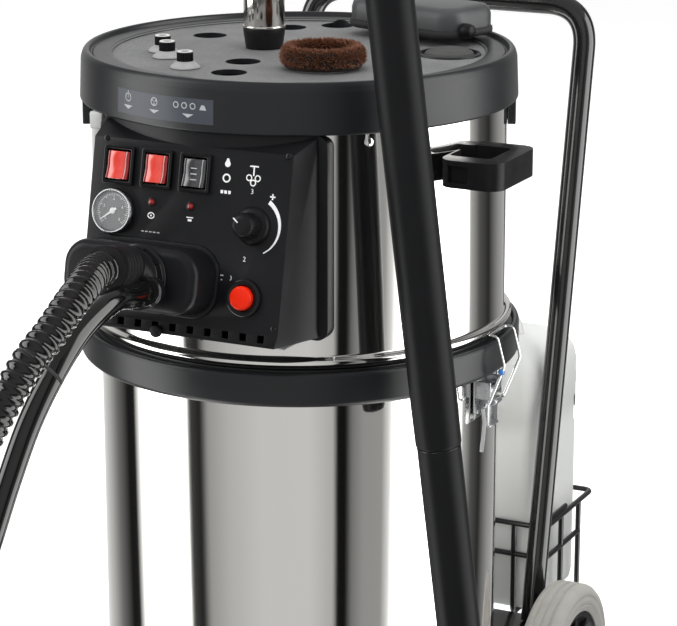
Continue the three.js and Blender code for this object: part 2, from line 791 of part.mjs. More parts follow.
const STEAM_ROUTE = [
  [-4, -302.3, 605.1],
  [-4, -320, 605.1],
  [-6, -345, 609],
  [-9, -372, 603],
  [-13, -400, 590],
  [-19, -432, 562],
  [-29, -456, 524],
  [-43, -472, 471],
  [-58, -484, 414],
  [-75, -496, 356],
  [-89, -506, 298],
  [-100, -515, 242],
  [-110, -524, 189],
  [-122, -533, 139],
  [-139, -543, 92],
  [-163, -556, 54],
];

const COIL = { x: -399, y: -507, inner: 92, outer: 212, high: 31.6 };
const GUN = { x: -487.7, y: -623, z: 52.5, heading: 2.49 };

function route(points) {
  return new THREE.CatmullRomCurve3(points.map((p) => vec(...p)), false, 'centripetal');
}

function addHoses() {
  place('suction_hose_run', tube(route(SUCTION_ROUTE), HOSE_R, 14, 8), 0x0c0c0d, 0.2, 0);
  place('steam_hose_run', tube(route(STEAM_ROUTE), STEAM_R, 18, 8), 0x0c0c0d, 0.15, 0);
  const coil = place('hose_coil', ring(COIL.inner, COIL.outer, 0, COIL.high, 24), 0x0c0c0d, 0.2, 0);
  coil.position.set(COIL.x, COIL.y, 0);
}

// The steam and suction gun lies on its side on the coil; its trigger squeezes towards the grip.
function addGun() {
  const gun = new THREE.Group();
  gun.position.set(GUN.x, GUN.y, GUN.z);
  gun.rotation.z = GUN.heading;
  machine.add(gun);
  const inlet = alongX(rod(20.5, 4, 50));
  const grip = block(44, 190, -17, 19, -20, 20);
  const nozzle = alongX(rod(20.5, 180, 226));
  const slot = block(80, 150, -30, -7, -8, 8);
  const pin = rod(2.2, -15, 15, 12).translate(144, -13, 0);
  place('gun_body', joined(cut(joined(inlet, grip, nozzle), slot), pin), BLACK, 0.45, 0, gun);

  const eye = rod(5, -6, 6, 16);
  const lever = block(-52, 0, -9, -4, -6, 6);
  const bore = rod(2.2 + GAP, -10, 10, 12);
  place('gun_trigger', cut(joined(eye, lever), bore), 0xb3261e, 0.45, 0, gun).position.set(144, -13, 0);
}

addTrolley();
addWheel('left', -1);
addWheel('right', 1);
addCastor('left', -1);
addCastor('right', 1);
addBasket();
addCan();
addLowerDrum();
addLatch('left', -1);
addLatch('right', 1);
addHead();
addControlHousing();
addConnector();
addSideHandle('left', -1);
addSideHandle('right', 1);
addMainsInlet();
addTray();
addAccessories();
addWand();
addHoses();
addGun();

export default machine;
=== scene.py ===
# Drum steam cleaner with vacuum: looks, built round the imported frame. Metres, +Z up, front faces -Y.
# Shapes are written in millimetres from the drum axis and turned into metres when an object is made.

import json
import math
import random

import bmesh
import bpy
from mathutils import Matrix, Vector
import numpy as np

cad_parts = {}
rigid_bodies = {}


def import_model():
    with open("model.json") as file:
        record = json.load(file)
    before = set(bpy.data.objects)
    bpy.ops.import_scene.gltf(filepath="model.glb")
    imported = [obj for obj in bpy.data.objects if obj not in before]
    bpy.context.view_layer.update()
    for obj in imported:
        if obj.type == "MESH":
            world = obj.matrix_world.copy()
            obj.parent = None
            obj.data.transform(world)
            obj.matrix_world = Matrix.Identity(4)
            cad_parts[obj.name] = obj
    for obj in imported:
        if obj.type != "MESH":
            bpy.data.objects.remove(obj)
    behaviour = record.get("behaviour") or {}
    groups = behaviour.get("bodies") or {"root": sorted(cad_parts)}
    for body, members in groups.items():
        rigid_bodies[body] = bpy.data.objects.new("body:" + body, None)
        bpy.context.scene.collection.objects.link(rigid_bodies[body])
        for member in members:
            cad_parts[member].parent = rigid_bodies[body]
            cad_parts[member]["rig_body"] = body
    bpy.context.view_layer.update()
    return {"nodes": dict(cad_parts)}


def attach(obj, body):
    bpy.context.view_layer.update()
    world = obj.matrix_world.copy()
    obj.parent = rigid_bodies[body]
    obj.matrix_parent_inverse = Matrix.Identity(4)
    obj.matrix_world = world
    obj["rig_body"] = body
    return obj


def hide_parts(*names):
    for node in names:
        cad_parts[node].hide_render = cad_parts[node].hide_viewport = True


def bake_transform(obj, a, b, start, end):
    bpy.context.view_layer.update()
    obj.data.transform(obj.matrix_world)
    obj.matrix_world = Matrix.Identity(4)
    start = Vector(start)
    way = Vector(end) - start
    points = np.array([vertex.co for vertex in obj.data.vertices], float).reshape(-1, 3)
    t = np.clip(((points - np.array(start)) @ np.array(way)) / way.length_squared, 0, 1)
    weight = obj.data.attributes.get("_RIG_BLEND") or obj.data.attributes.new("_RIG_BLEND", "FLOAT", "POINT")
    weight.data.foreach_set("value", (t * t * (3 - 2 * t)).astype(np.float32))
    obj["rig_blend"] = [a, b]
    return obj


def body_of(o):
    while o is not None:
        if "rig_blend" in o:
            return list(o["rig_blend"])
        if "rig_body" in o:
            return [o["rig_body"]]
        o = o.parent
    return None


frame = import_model()
scene = bpy.context.scene

MM = 0.001

# Drum axis, measured from the middle of the whole machine.
AXIS = Vector((-0.011, -0.0411, 0))
MACHINE = Matrix.Translation(AXIS) @ Matrix.Scale(MM, 4)

# The control face leans back; X runs across it, Y up it and Z out of it.
TILT = math.radians(12.05)
FACE = Matrix((
    (1, 0, 0, 0),
    (0, math.sin(TILT), -math.cos(TILT), -226.1),
    (0, math.cos(TILT), math.sin(TILT), 644),
    (0, 0, 0, 1),
))

HEAD_R = 205
TRAY_LOW = 736.5
TRAY_TOP = 784.8
DECK_Z = 777
ROUND = 192


# ---------------------------------------------------------------- camera and studio

def add_camera():
    data = bpy.data.cameras.new("camera")
    data.sensor_width = 36
    data.lens = 138.26
    camera = bpy.data.objects.new("camera", data)
    scene.collection.objects.link(camera)
    camera.location = Vector((1.1488, -2.2546, 1.2115)) + AXIS
    forward = Vector((-0.4244, 0.8652, -0.2669))
    camera.rotation_euler = forward.to_track_quat("-Z", "Y").to_euler()
    scene.camera = camera


def plain_emission(name, strength):
    material = bpy.data.materials.new(name)
    material.use_nodes = True
    nodes = material.node_tree.nodes
    nodes.clear()
    output = nodes.new("ShaderNodeOutputMaterial")
    emission = nodes.new("ShaderNodeEmission")
    emission.inputs["Strength"].default_value = strength
    material.node_tree.links.new(emission.outputs[0], output.inputs[0])
    return material, emission


# Bright sheets and black flags round the machine, which only reflections show: degrees round from the
# camera's side, and brightness. They were chosen so that the drums' bands come near the photographed ones.
STUDIO = [
    (-180, 0.19), (-160, 0.165), (-142, 0.1), (-129, 0.0375), (-115, 0.0025), (-108, 0.003),
    (-104, 0.2125), (-96, 1), (-69, 1), (-64.5, 0.0125), (-57, 0.003), (-52.5, 0.08),
    (-40, 0.115), (-22, 0.14), (4, 0.14), (17, 0.105), (19.5, 0.0015), (24.5, 0.0015),
    (27.5, 0.0425), (34, 0.07), (45, 0.075), (50, 0.2), (56, 1), (99, 1), (104, 0.1),
    (113, 0.02), (124, 0.005), (130, 0.03), (139, 0.065), (160, 0.1125), (180, 0.19),
]

CURTAIN_RADIUS = 4.5
CURTAIN_LOW = -12
CURTAIN_HIGH = 5
CURTAIN_STRENGTH = 4.48
CAMERA_SIDE = math.radians(-63)


def add_studio():
    floor_mesh = bpy.data.meshes.new("floor")
    floor_mesh.from_pydata([(-30, -30, 0), (30, -30, 0), (30, 30, 0), (-30, 30, 0)], [], [(0, 1, 2, 3)])
    floor = bpy.data.objects.new("floor", floor_mesh)
    scene.collection.objects.link(floor)
    pale = bpy.data.materials.new("pale_floor")
    pale.use_nodes = True
    shader = pale.node_tree.nodes["Principled BSDF"]
    shader.inputs["Base Color"].default_value = (0.93, 0.93, 0.93, 1)
    shader.inputs["Roughness"].default_value = 0.9
    floor_mesh.materials.append(pale)
    shader.inputs["Emission Color"].default_value = (1, 1, 1, 1)
    shader.inputs["Emission Strength"].default_value = 0.45
    # The floor glows a little and neither shows in reflections nor lights the machine.
    floor.visible_glossy = False
    floor.visible_diffuse = False

    # The curtain shows only in reflections, so it stays out of every view.
    vertices = []
    faces = []
    sides = 96
    for i in range(sides):
        angle = i / sides * math.tau
        x = CURTAIN_RADIUS * math.cos(angle)
        y = CURTAIN_RADIUS * math.sin(angle)
        vertices.append((x, y, CURTAIN_LOW))
        vertices.append((x, y, CURTAIN_HIGH))
        j = (i + 1) % sides
        faces.append((2 * i, 2 * j, 2 * j + 1, 2 * i + 1))
    mesh = bpy.data.meshes.new("curtain")
    mesh.from_pydata(vertices, [], faces)
    curtain = bpy.data.objects.new("curtain", mesh)
    curtain.rotation_euler = (0, 0, CAMERA_SIDE)
    scene.collection.objects.link(curtain)
    material, emission = plain_emission("curtain", CURTAIN_STRENGTH)
    tree = material.node_tree
    place = tree.nodes.new("ShaderNodeTexCoord")
    around = tree.nodes.new("ShaderNodeTexGradient")
    around.gradient_type = "RADIAL"
    ramp = tree.nodes.new("ShaderNodeValToRGB")
    tree.links.new(place.outputs["Object"], around.inputs["Vector"])
    tree.links.new(around.outputs["Fac"], ramp.inputs["Fac"])
    tree.links.new(ramp.outputs["Color"], emission.inputs["Color"])
    stops = ramp.color_ramp.elements
    for i, (angle, light) in enumerate(STUDIO):
        position = angle / 360 + 0.5
        stop = stops[i] if i < 2 else stops.new(position)
        stop.position = position
        stop.color = (light, light, light * 0.985, 1)
    mesh.materials.append(material)
    for flag in ("visible_camera", "visible_diffuse", "visible_shadow", "visible_transmission"):
        setattr(curtain, flag, False)

    world = bpy.data.worlds.new("studio")
    scene.world = world
    world.use_nodes = True
    world.node_tree.nodes["Background"].inputs["Color"].default_value = (1, 1, 1, 1)
    world.node_tree.nodes["Background"].inputs["Strength"].default_value = 0.5

    for name, where, size, power in (
        ("key", (-1.6, -2.6, 2.6), 2.2, 62),
        ("fill", (2.9, -1.0, 2.2), 2.0, 36),
        ("top", (0.2, 0.3, 3.2), 2.4, 40),
        ("back", (0.5, 3.0, 2.4), 2.2, 34),
    ):
        data = bpy.data.lights.new(name, "AREA")
        data.size = size
        data.energy = power
        light = bpy.data.objects.new(name, data)
        light.location = where
        aim = Vector((0, 0, 0.5)) - Vector(where)
        light.rotation_euler = aim.to_track_quat("-Z", "Y").to_euler()
        light.visible_glossy = False
        scene.collection.objects.link(light)
    scene.view_settings.view_transform = "Standard"
    scene.view_settings.look = "None"


# ---------------------------------------------------------------- materials

def surface(name, colour, roughness, metallic=0.0, other=None, patch=40, grain=0.0, grain_scale=900,
            waviness=0.0, rough_spread=0.06, coat=0.0, stretch=(1, 1, 1), alpha=1.0, ior=1.45,
            subsurface=0.0, specular=0.5):
    """A finish whose colour, gloss and relief vary a little over the surface; scales are per metre."""
    material = bpy.data.materials.new(name)
    material.use_nodes = True
    tree = material.node_tree
    shader = tree.nodes["Principled BSDF"]
    shader.inputs["Metallic"].default_value = metallic
    shader.inputs["Coat Weight"].default_value = coat
    shader.inputs["Coat Roughness"].default_value = 0.08
    shader.inputs["Alpha"].default_value = alpha
    shader.inputs["IOR"].default_value = ior
    shader.inputs["Specular IOR Level"].default_value = specular
    if subsurface:
        shader.inputs["Subsurface Weight"].default_value = subsurface
        shader.inputs["Subsurface Radius"].default_value = (0.02, 0.02, 0.02)
        shader.inputs["Subsurface Scale"].default_value = 0.6

    coords = tree.nodes.new("ShaderNodeTexCoord")
    mapping = tree.nodes.new("ShaderNodeMapping")
    mapping.inputs["Scale"].default_value = stretch
    tree.links.new(coords.outputs["Object"], mapping.inputs["Vector"])

    patches = tree.nodes.new("ShaderNodeTexNoise")
    patches.inputs["Scale"].default_value = patch
    patches.inputs["Detail"].default_value = 6
    tree.links.new(mapping.outputs[0], patches.inputs["Vector"])

    mix = tree.nodes.new("ShaderNodeMix")
    mix.data_type = "RGBA"
    second = other or [min(1, c * 1.25 + 0.004) for c in colour]
    mix.inputs["A"].default_value = (*colour, 1)
    mix.inputs["B"].default_value = (*second, 1)
    tree.links.new(patches.outputs["Fac"], mix.inputs["Factor"])
    tree.links.new(mix.outputs["Result"], shader.inputs["Base Color"])

    spread = tree.nodes.new("ShaderNodeMapRange")
    spread.inputs["To Min"].default_value = max(0.01, roughness - rough_spread)
    spread.inputs["To Max"].default_value = min(1, roughness + rough_spread)
    tree.links.new(patches.outputs["Fac"], spread.inputs["Value"])
    tree.links.new(spread.outputs["Result"], shader.inputs["Roughness"])

    normal = None
    for strength, scale, distance in ((waviness, 9, 0.004), (grain, grain_scale, 0.0003)):
        if not strength:
            continue
        noise = tree.nodes.new("ShaderNodeTexNoise")
        noise.inputs["Scale"].default_value = scale
        noise.inputs["Detail"].default_value = 2
        tree.links.new(mapping.outputs[0], noise.inputs["Vector"])
        bump = tree.nodes.new("ShaderNodeBump")
        bump.inputs["Strength"].default_value = strength
        bump.inputs["Distance"].default_value = distance
        tree.links.new(noise.outputs["Fac"], bump.inputs["Height"])
        if normal:
            tree.links.new(normal, bump.inputs["Normal"])
        normal = bump.outputs["Normal"]
    if normal:
        tree.links.new(normal, shader.inputs["Normal"])
    return material


def mottled(name, dark, light, roughness):
    """Dusty moulded plastic: broad cloudy patches, fine specks and a leathery grain."""
    material = surface(name, dark, roughness, other=light, patch=26, grain=0.5, grain_scale=1400)
    tree = material.node_tree
    shader = tree.nodes["Principled BSDF"]
    mix = next(n for n in tree.nodes if n.type == "MIX")
    specks = tree.nodes.new("ShaderNodeTexNoise")
    specks.inputs["Scale"].default_value = 420
    specks.inputs["Detail"].default_value = 8
    ramp = tree.nodes.new("ShaderNodeValToRGB")
    ramp.color_ramp.elements[0].position = 0.42
    ramp.color_ramp.elements[0].color = (0.72, 0.72, 0.72, 1)
    ramp.color_ramp.elements[1].position = 0.68
    ramp.color_ramp.elements[1].color = (1.35, 1.35, 1.35, 1)
    product = tree.nodes.new("ShaderNodeMix")
    product.data_type = "RGBA"
    product.blend_type = "MULTIPLY"
    product.inputs["Factor"].default_value = 1
    tree.links.new(specks.outputs["Fac"], ramp.inputs["Fac"])
    tree.links.new(mix.outputs["Result"], product.inputs["A"])
    tree.links.new(ramp.outputs["Color"], product.inputs["B"])
    tree.links.new(product.outputs["Result"], shader.inputs["Base Color"])
    return material


MAT = {}


def add_materials():
    MAT["steel"] = surface("polished_steel", (0.86, 0.85, 0.83), 0.06, 1, (0.80, 0.79, 0.765), 14,
                           grain=0.02, grain_scale=260, waviness=0.012, rough_spread=0.025,
                           stretch=(1, 1, 0.12))
    MAT["bead"] = surface("rolled_steel_bead", (0.84, 0.82, 0.78), 0.12, 1, (0.76, 0.74, 0.70), 60,
                          grain=0.05, grain_scale=300)
    MAT["anthracite"] = surface("anthracite_plastic", (0.0105, 0.0112, 0.0130), 0.34,
                                other=(0.0145, 0.0152, 0.0172), patch=18, grain=0.16, grain_scale=1700,
                                specular=0.42)
    # The deck's top is far lighter than the tray's walls: partly real dust, partly painted light falling
    # from above.
    MAT["deck"] = mottled("dusty_deck_painted_top_light", (0.095, 0.096, 0.098), (0.215, 0.216, 0.216), 0.62)
    MAT["rough_pad"] = mottled("rough_recess", (0.030, 0.030, 0.030), (0.085, 0.085, 0.083), 0.85)
    MAT["panel"] = surface("satin_black_panel", (0.0075, 0.0078, 0.009), 0.34,
                           other=(0.012, 0.012, 0.0135), patch=30, grain=0.12, grain_scale=2200,
                           specular=0.19)
    MAT["black_gloss"] = surface("black_gloss", (0.006, 0.006, 0.007), 0.14, patch=50,
                                 grain=0.03, grain_scale=500, coat=0.12, specular=0.25)
    MAT["black_coat"] = surface("black_powder_coat", (0.0065, 0.0065, 0.007), 0.16, patch=60,
                                grain=0.08, grain_scale=900, coat=0.5)
    MAT["wire"] = surface("coated_wire", (0.008, 0.008, 0.009), 0.3, patch=120, grain=0.1,
                          grain_scale=1200, coat=0.2)
    MAT["black_satin"] = surface("black_satin", (0.007, 0.007, 0.008), 0.36, patch=60,
                                 grain=0.16, grain_scale=1800, specular=0.16)
    MAT["wand"] = surface("wand_plastic", (0.0085, 0.0088, 0.0095), 0.40, patch=26,
                          other=(0.0115, 0.0118, 0.0128), grain=0.14, grain_scale=1500, specular=0.10)
    MAT["hose"] = surface("hose_black", (0.003, 0.003, 0.0032), 0.12, patch=80,
                          grain=0.04, grain_scale=700, coat=0.3, specular=0.35)
    MAT["steam"] = surface("steam_hose_black", (0.003, 0.003, 0.0032), 0.10, patch=40,
                           waviness=0.05, coat=0.4, specular=0.40)
    # Near-black and hardly reflective: painted shade for the bottoms of the tray's holes.
    MAT["painted_hole_shade"] = surface("painted_hole_shade", (0.0012, 0.0012, 0.0012), 0.9, other=(0.002, 0.002, 0.002),
                                patch=90, specular=0.05)
    MAT["rubber"] = surface("soft_rubber", (0.010, 0.010, 0.010), 0.7, patch=90, grain=0.4,
                            grain_scale=1500)
    MAT["tyre"] = surface("grey_tyre", (0.33, 0.32, 0.30), 0.72, other=(0.42, 0.41, 0.38), patch=55,
                          grain=0.35, grain_scale=1300)
    MAT["castor_tread"] = surface("castor_tread", (0.10, 0.10, 0.105), 0.62, patch=80, grain=0.3)
    MAT["zinc"] = surface("zinc_plate", (0.58, 0.59, 0.60), 0.28, 1, (0.50, 0.51, 0.53), 150,
                          grain=0.1, grain_scale=800)
    MAT["bright_wire"] = surface("bright_wire", (0.80, 0.81, 0.83), 0.12, 1, patch=90)
    MAT["chrome"] = surface("polished_tube", (0.83, 0.81, 0.77), 0.09, 1, (0.77, 0.75, 0.71), 24,
                            grain=0.04, grain_scale=420, stretch=(1, 1, 0.15))
    MAT["red_clear"] = surface("red_rocker", (0.74, 0.035, 0.025), 0.12, other=(0.86, 0.10, 0.07),
                               patch=320, coat=1.0, stretch=(1, 1, 0.2))
    MAT["red_dark"] = surface("red_lamp", (0.20, 0.006, 0.006), 0.10, other=(0.34, 0.012, 0.010),
                              patch=400, coat=1.0)
    MAT["red_button"] = surface("red_button", (0.88, 0.018, 0.003), 0.30, other=(0.92, 0.028, 0.005),
                                patch=120, coat=0.05, specular=0.2)
    MAT["smoke"] = surface("smoked_rocker", (0.020, 0.020, 0.022), 0.14, other=(0.075, 0.075, 0.08),
                           patch=420, coat=1.0)
    MAT["dial"] = surface("dial_grey", (0.075, 0.077, 0.08), 0.4, other=(0.11, 0.112, 0.115), patch=60,
                          metallic=0.3)
    MAT["white_print"] = surface("white_print", (0.86, 0.86, 0.86), 0.45, patch=200)
    MAT["grey_print"] = surface("grey_print", (0.42, 0.43, 0.45), 0.5, patch=200)
    MAT["label"] = surface("label_film", (0.055, 0.061, 0.076), 0.33, other=(0.070, 0.077, 0.093), patch=50,
                           coat=0.05, specular=0.3)
    MAT["glass"] = surface("gauge_glass", (0.9, 0.92, 0.93), 0.03, patch=20, alpha=0.10,
                           rough_spread=0.01)
    MAT["bristle"] = surface("copper_bristle", (0.105, 0.038, 0.018), 0.46, 0.2, (0.25, 0.10, 0.05), 240)
    MAT["bristle_core"] = surface("bristle_core", (0.010, 0.005, 0.003), 0.9, patch=300, grain=0.6)
    MAT["grey_cone"] = surface("grey_bristle", (0.26, 0.26, 0.265), 0.6, other=(0.40, 0.40, 0.405),
                               patch=160, grain=0.5, grain_scale=1100)
    MAT["grey_trim"] = surface("grey_trim", (0.55, 0.55, 0.54), 0.4, other=(0.66, 0.66, 0.65), patch=120,
                               grain=0.2)
    MAT["pad"] = surface("grey_pad", (0.028, 0.029, 0.031), 0.42, other=(0.075, 0.077, 0.08), patch=14,
                         grain=0.25, grain_scale=1200)
    MAT["can"] = surface("can_polyethylene", (0.80, 0.815, 0.80), 0.36, other=(0.86, 0.87, 0.86), patch=9,
                         waviness=0.05, grain=0.05, grain_scale=500, subsurface=0.35)
    MAT["cap"] = surface("white_cap", (0.84, 0.84, 0.82), 0.4, patch=60, grain=0.1)
    MAT["orange"] = surface("orange_print", (0.86, 0.25, 0.06), 0.45, patch=90)
    MAT["blue"] = surface("blue_bead", (0.03, 0.20, 0.62), 0.18, patch=200, coat=0.8)
    MAT["clear"] = surface("clear_tag", (0.88, 0.89, 0.91), 0.12, patch=60, alpha=0.35)
    MAT["cast"] = surface("cast_motor", (0.30, 0.305, 0.315), 0.5, 0.8, patch=120, grain=0.5)
    MAT["brass"] = surface("brass_pump", (0.62, 0.44, 0.18), 0.35, 1, patch=120, grain=0.2)
    MAT["float"] = surface("pale_float", (0.72, 0.70, 0.62), 0.4, patch=60, grain=0.1)
    MAT["trigger"] = surface("red_trigger", (0.50, 0.02, 0.012), 0.4, patch=90, grain=0.2)


# ---------------------------------------------------------------- mesh helpers

def lathe(profile, segments=ROUND, matrix=None):
    """Turns (radius, height) points about Z; a profile that closes on itself gives a ring."""
    loop = profile[0] == profile[-1]
    points = profile[:-1] if loop else profile
    vertices = []
    rows = []
    for radius, height in points:
        if radius < 1e-6:
            rows.append([len(vertices)] * segments)
            vertices.append(Vector((0, 0, height)))
            continue
        rows.append(list(range(len(vertices), len(vertices) + segments)))
        for i in range(segments):
            angle = i / segments * math.tau
            vertices.append(Vector((radius * math.cos(angle), radius * math.sin(angle), height)))
    faces = []
    pairs = len(rows) if loop else len(rows) - 1
    for a in range(pairs):
        low = rows[a]
        high = rows[(a + 1) % len(rows)]
        for i in range(segments):
            j = (i + 1) % segments
            face = []
            for corner in (low[i], low[j], high[j], high[i]):
                if corner not in face:
                    face.append(corner)
            if len(face) > 2:
                faces.append(face)
    if matrix:
        vertices = [matrix @ v for v in vertices]
    return vertices, faces


def softened(profile, radius, steps=4):
    """Rounds the corners of a profile or outline by up to radius."""
    loop = profile[0] == profile[-1]
    points = [Vector(p) for p in (profile[:-1] if loop else profile)]
    result = []
    count = len(points)
    for i, point in enumerate(points):
        if not loop and i in (0, count - 1):
            result.append(tuple(point))
            continue
        before = points[i - 1] - point
        after = points[(i + 1) % count] - point
        reach = min(radius, before.length * 0.45, after.length * 0.45)
        if reach < 0.05 or point.x < 1e-6 and len(point) == 2 and not loop:
            result.append(tuple(point))
            continue
        start = point + before.normalized() * reach
        end = point + after.normalized() * reach
        for k in range(steps + 1):
            t = k / steps
            result.append(tuple(start.lerp(point, t).lerp(point.lerp(end, t), t)))
    if loop:
        result.append(result[0])
    return result


def smooth_line(points, spacing):
    """Evenly spaced points on a centripetal Catmull-Rom curve through the given ones."""
    points = [Vector(p) for p in points]
    padded = [points[0] * 2 - points[1], *points, points[-1] * 2 - points[-2]]
    dense = []
    for i in range(1, len(padded) - 2):
        p0, p1, p2, p3 = padded[i - 1:i + 3]
        t0 = 0
        t1 = t0 + math.sqrt((p1 - p0).length)
        t2 = t1 + math.sqrt((p2 - p1).length)
        t3 = t2 + math.sqrt((p3 - p2).length)
        for k in range(24):
            t = t1 + (t2 - t1) * k / 24
            a1 = p0 * ((t1 - t) / (t1 - t0)) + p1 * ((t - t0) / (t1 - t0))
            a2 = p1 * ((t2 - t) / (t2 - t1)) + p2 * ((t - t1) / (t2 - t1))
            a3 = p2 * ((t3 - t) / (t3 - t2)) + p3 * ((t - t2) / (t3 - t2))
            b1 = a1 * ((t2 - t) / (t2 - t0)) + a2 * ((t - t0) / (t2 - t0))
            b2 = a2 * ((t3 - t) / (t3 - t1)) + a3 * ((t - t1) / (t3 - t1))
            dense.append(b1 * ((t2 - t) / (t2 - t1)) + b2 * ((t - t1) / (t2 - t1)))
    dense.append(points[-1])
    return even(dense, spacing)


def even(dense, spacing):
    lengths = [0]
    for a, b in zip(dense, dense[1:]):
        lengths.append(lengths[-1] + (b - a).length)
    count = max(2, round(lengths[-1] / spacing))
    result = []
    j = 0
    for i in range(count + 1):
        target = lengths[-1] * i / count
        while j < len(lengths) - 2 and lengths[j + 1] < target:
            j += 1
        span = lengths[j + 1] - lengths[j] or 1
        result.append(dense[j].lerp(dense[j + 1], (target - lengths[j]) / span))
    return result


def rounded_path(corners, radius, steps=10):
    """Straight stretches joined by round bends."""
    corners = [Vector(c) for c in corners]
    result = [corners[0]]
    for before, corner, after in zip(corners, corners[1:], corners[2:]):
        start = (before - corner).normalized() * radius + corner
        end = (after - corner).normalized() * radius + corner
        for k in range(steps + 1):
            t = k / steps
            result.append(start.lerp(corner, t).lerp(corner.lerp(end, t), t))
    result.append(corners[-1])
    return result


def sweep(line, radius, sides=16, closed=False):
    """A tube along a line; radius is a number or a function of distance and turn (0 to 1)."""
    line = [Vector(p) for p in line]
    count = len(line)
    tangents = []
    for i in range(count):
        if closed:
            step = line[(i + 1) % count] - line[i - 1]
        else:
            step = line[min(i + 1, count - 1)] - line[max(i - 1, 0)]
        tangents.append(step.normalized())
    across = tangents[0].orthogonal().normalized()
    vertices = []
    distance = 0
    for i, point in enumerate(line):
        if i:
            distance += (point - line[i - 1]).length
            across = (across - tangents[i] * across.dot(tangents[i])).normalized()
        up = tangents[i].cross(across)
        for k in range(sides):
            turn = k / sides
            angle = turn * math.tau
            reach = radius(distance, turn) if callable(radius) else radius
            vertices.append(point + (across * math.cos(angle) + up * math.sin(angle)) * reach)
    faces = []
    for i in range(count if closed else count - 1):
        j = (i + 1) % count
        for k in range(sides):
            m = (k + 1) % sides
            faces.append((i * sides + k, i * sides + m, j * sides + m, j * sides + k))
    if not closed:
        faces.append(tuple(range(sides - 1, -1, -1)))
        faces.append(tuple((count - 1) * sides + k for k in range(sides)))
    return vertices, faces


def prism(outline, low, high, matrix=None):
    """A closed flat outline given thickness along Z."""
    count = len(outline)
    vertices = [Vector((x, y, low)) for x, y in outline] + [Vector((x, y, high)) for x, y in outline]
    faces = [tuple(range(count - 1, -1, -1)), tuple(range(count, 2 * count))]
    for i in range(count):
        j = (i + 1) % count
        faces.append((i, j, count + j, count + i))
    if matrix:
        vertices = [matrix @ v for v in vertices]
    return vertices, faces


def block(x0, x1, y0, y1, z0, z1, matrix=None):
    return prism([(x0, y0), (x1, y0), (x1, y1), (x0, y1)], z0, z1, matrix)


def rounded_outline(x0, x1, y0, y1, radius, steps=6):
    result = []
    for cx, cy, start in (
        (x1 - radius, y0 + radius, -90),
        (x1 - radius, y1 - radius, 0),
        (x0 + radius, y1 - radius, 90),
        (x0 + radius, y0 + radius, 180),
    ):
        for k in range(steps + 1):
            angle = math.radians(start + 90 * k / steps)
            result.append((cx + radius * math.cos(angle), cy + radius * math.sin(angle)))
    return result


def circle(x, y, radius, sides=24):
    return [
        (x + radius * math.cos(i / sides * math.tau), y + radius * math.sin(i / sides * math.tau))
        for i in range(sides)
    ]


def merged(*parts):
    vertices = []
    faces = []
    for more, more_faces in parts:
        start = len(vertices)
        vertices.extend(more)
        faces.extend(tuple(start + i for i in face) for face in more_faces)
    return vertices, faces


def shade(obj, angle=35):
    obj.data.polygons.foreach_set("use_smooth", [True] * len(obj.data.polygons))
    obj.data.set_sharp_from_angle(angle=math.radians(angle))


def build(name, shape, material, body, stands_for=(), edge=0.0, segments=3, matrix=None,
          angle=35, cutters=()):
    """Makes one piece from a shape in machine millimetres, rounds its edges and hangs it on a body."""
    vertices, faces = shape
    mesh = bpy.data.meshes.new(name)
    mesh.from_pydata([MACHINE @ (matrix @ v if matrix else v) for v in vertices], [], faces)
    bm = bmesh.new()
    bm.from_mesh(mesh)
    bmesh.ops.recalc_face_normals(bm, faces=bm.faces)
    bm.to_mesh(mesh)
    bm.free()
    obj = bpy.data.objects.new(name, mesh)
    scene.collection.objects.link(obj)
    if cutters:
        cut(obj, merged(*cutters))
    if edge:
        rounded(obj, edge, segments)
    mesh = obj.data
    mesh.name = name
    mesh.materials.clear()
    mesh.materials.append(MAT[material])
    shade(obj, angle)
    if stands_for:
        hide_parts(*stands_for)
    if body:
        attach(obj, body)
    return obj


def applied(obj):
    graph = bpy.context.evaluated_depsgraph_get()
    mesh = bpy.data.meshes.new_from_object(obj.evaluated_get(graph))
    obj.modifiers.clear()
    obj.data = mesh


def rounded(obj, width, segments=3):
    bevel = obj.modifiers.new("edges", "BEVEL")
    bevel.width = width * MM
    bevel.segments = segments
    bevel.limit_method = "ANGLE"
    bevel.angle_limit = math.radians(32)
    bevel.use_clamp_overlap = True
    bevel.harden_normals = False
    applied(obj)


def cut(obj, shape):
    vertices, faces = shape
    mesh = bpy.data.meshes.new("cutter")
    mesh.from_pydata([MACHINE @ v for v in vertices], [], faces)
    bm = bmesh.new()
    bm.from_mesh(mesh)
    bmesh.ops.recalc_face_normals(bm, faces=bm.faces)
    bm.to_mesh(mesh)
    bm.free()
    cutter = bpy.data.objects.new("cutter", mesh)
    scene.collection.objects.link(cutter)
    boolean = obj.modifiers.new("cut", "BOOLEAN")
    boolean.object = cutter
    boolean.operation = "DIFFERENCE"
    boolean.solver = "EXACT"
    applied(obj)
    bpy.data.objects.remove(cutter)


def refined(node, material, edge=1.0, segments=3, angle=35):
    """The CAD piece with rounded edges, standing for its node."""
    source = frame["nodes"][node]
    mesh = source.data.copy()
    bm = bmesh.new()
    bm.from_mesh(mesh)
    bmesh.ops.transform(bm, matrix=source.matrix_world, verts=bm.verts)
    bmesh.ops.remove_doubles(bm, verts=bm.verts, dist=2e-5)
    bmesh.ops.dissolve_limit(bm, angle_limit=math.radians(1), verts=bm.verts, edges=bm.edges)
    bm.to_mesh(mesh)
    bm.free()
    obj = bpy.data.objects.new(f"{node}_shell", mesh)
    scene.collection.objects.link(obj)
    rounded(obj, edge, segments)
    obj.data.materials.clear()
    obj.data.materials.append(MAT[material])
    shade(obj, angle)
    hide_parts(node)
    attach(obj, body_of(source)[0])
    return obj


def face_at(x, v, w=0):
    return FACE @ Matrix.Translation((x, v, w))


# ---------------------------------------------------------------- hoses

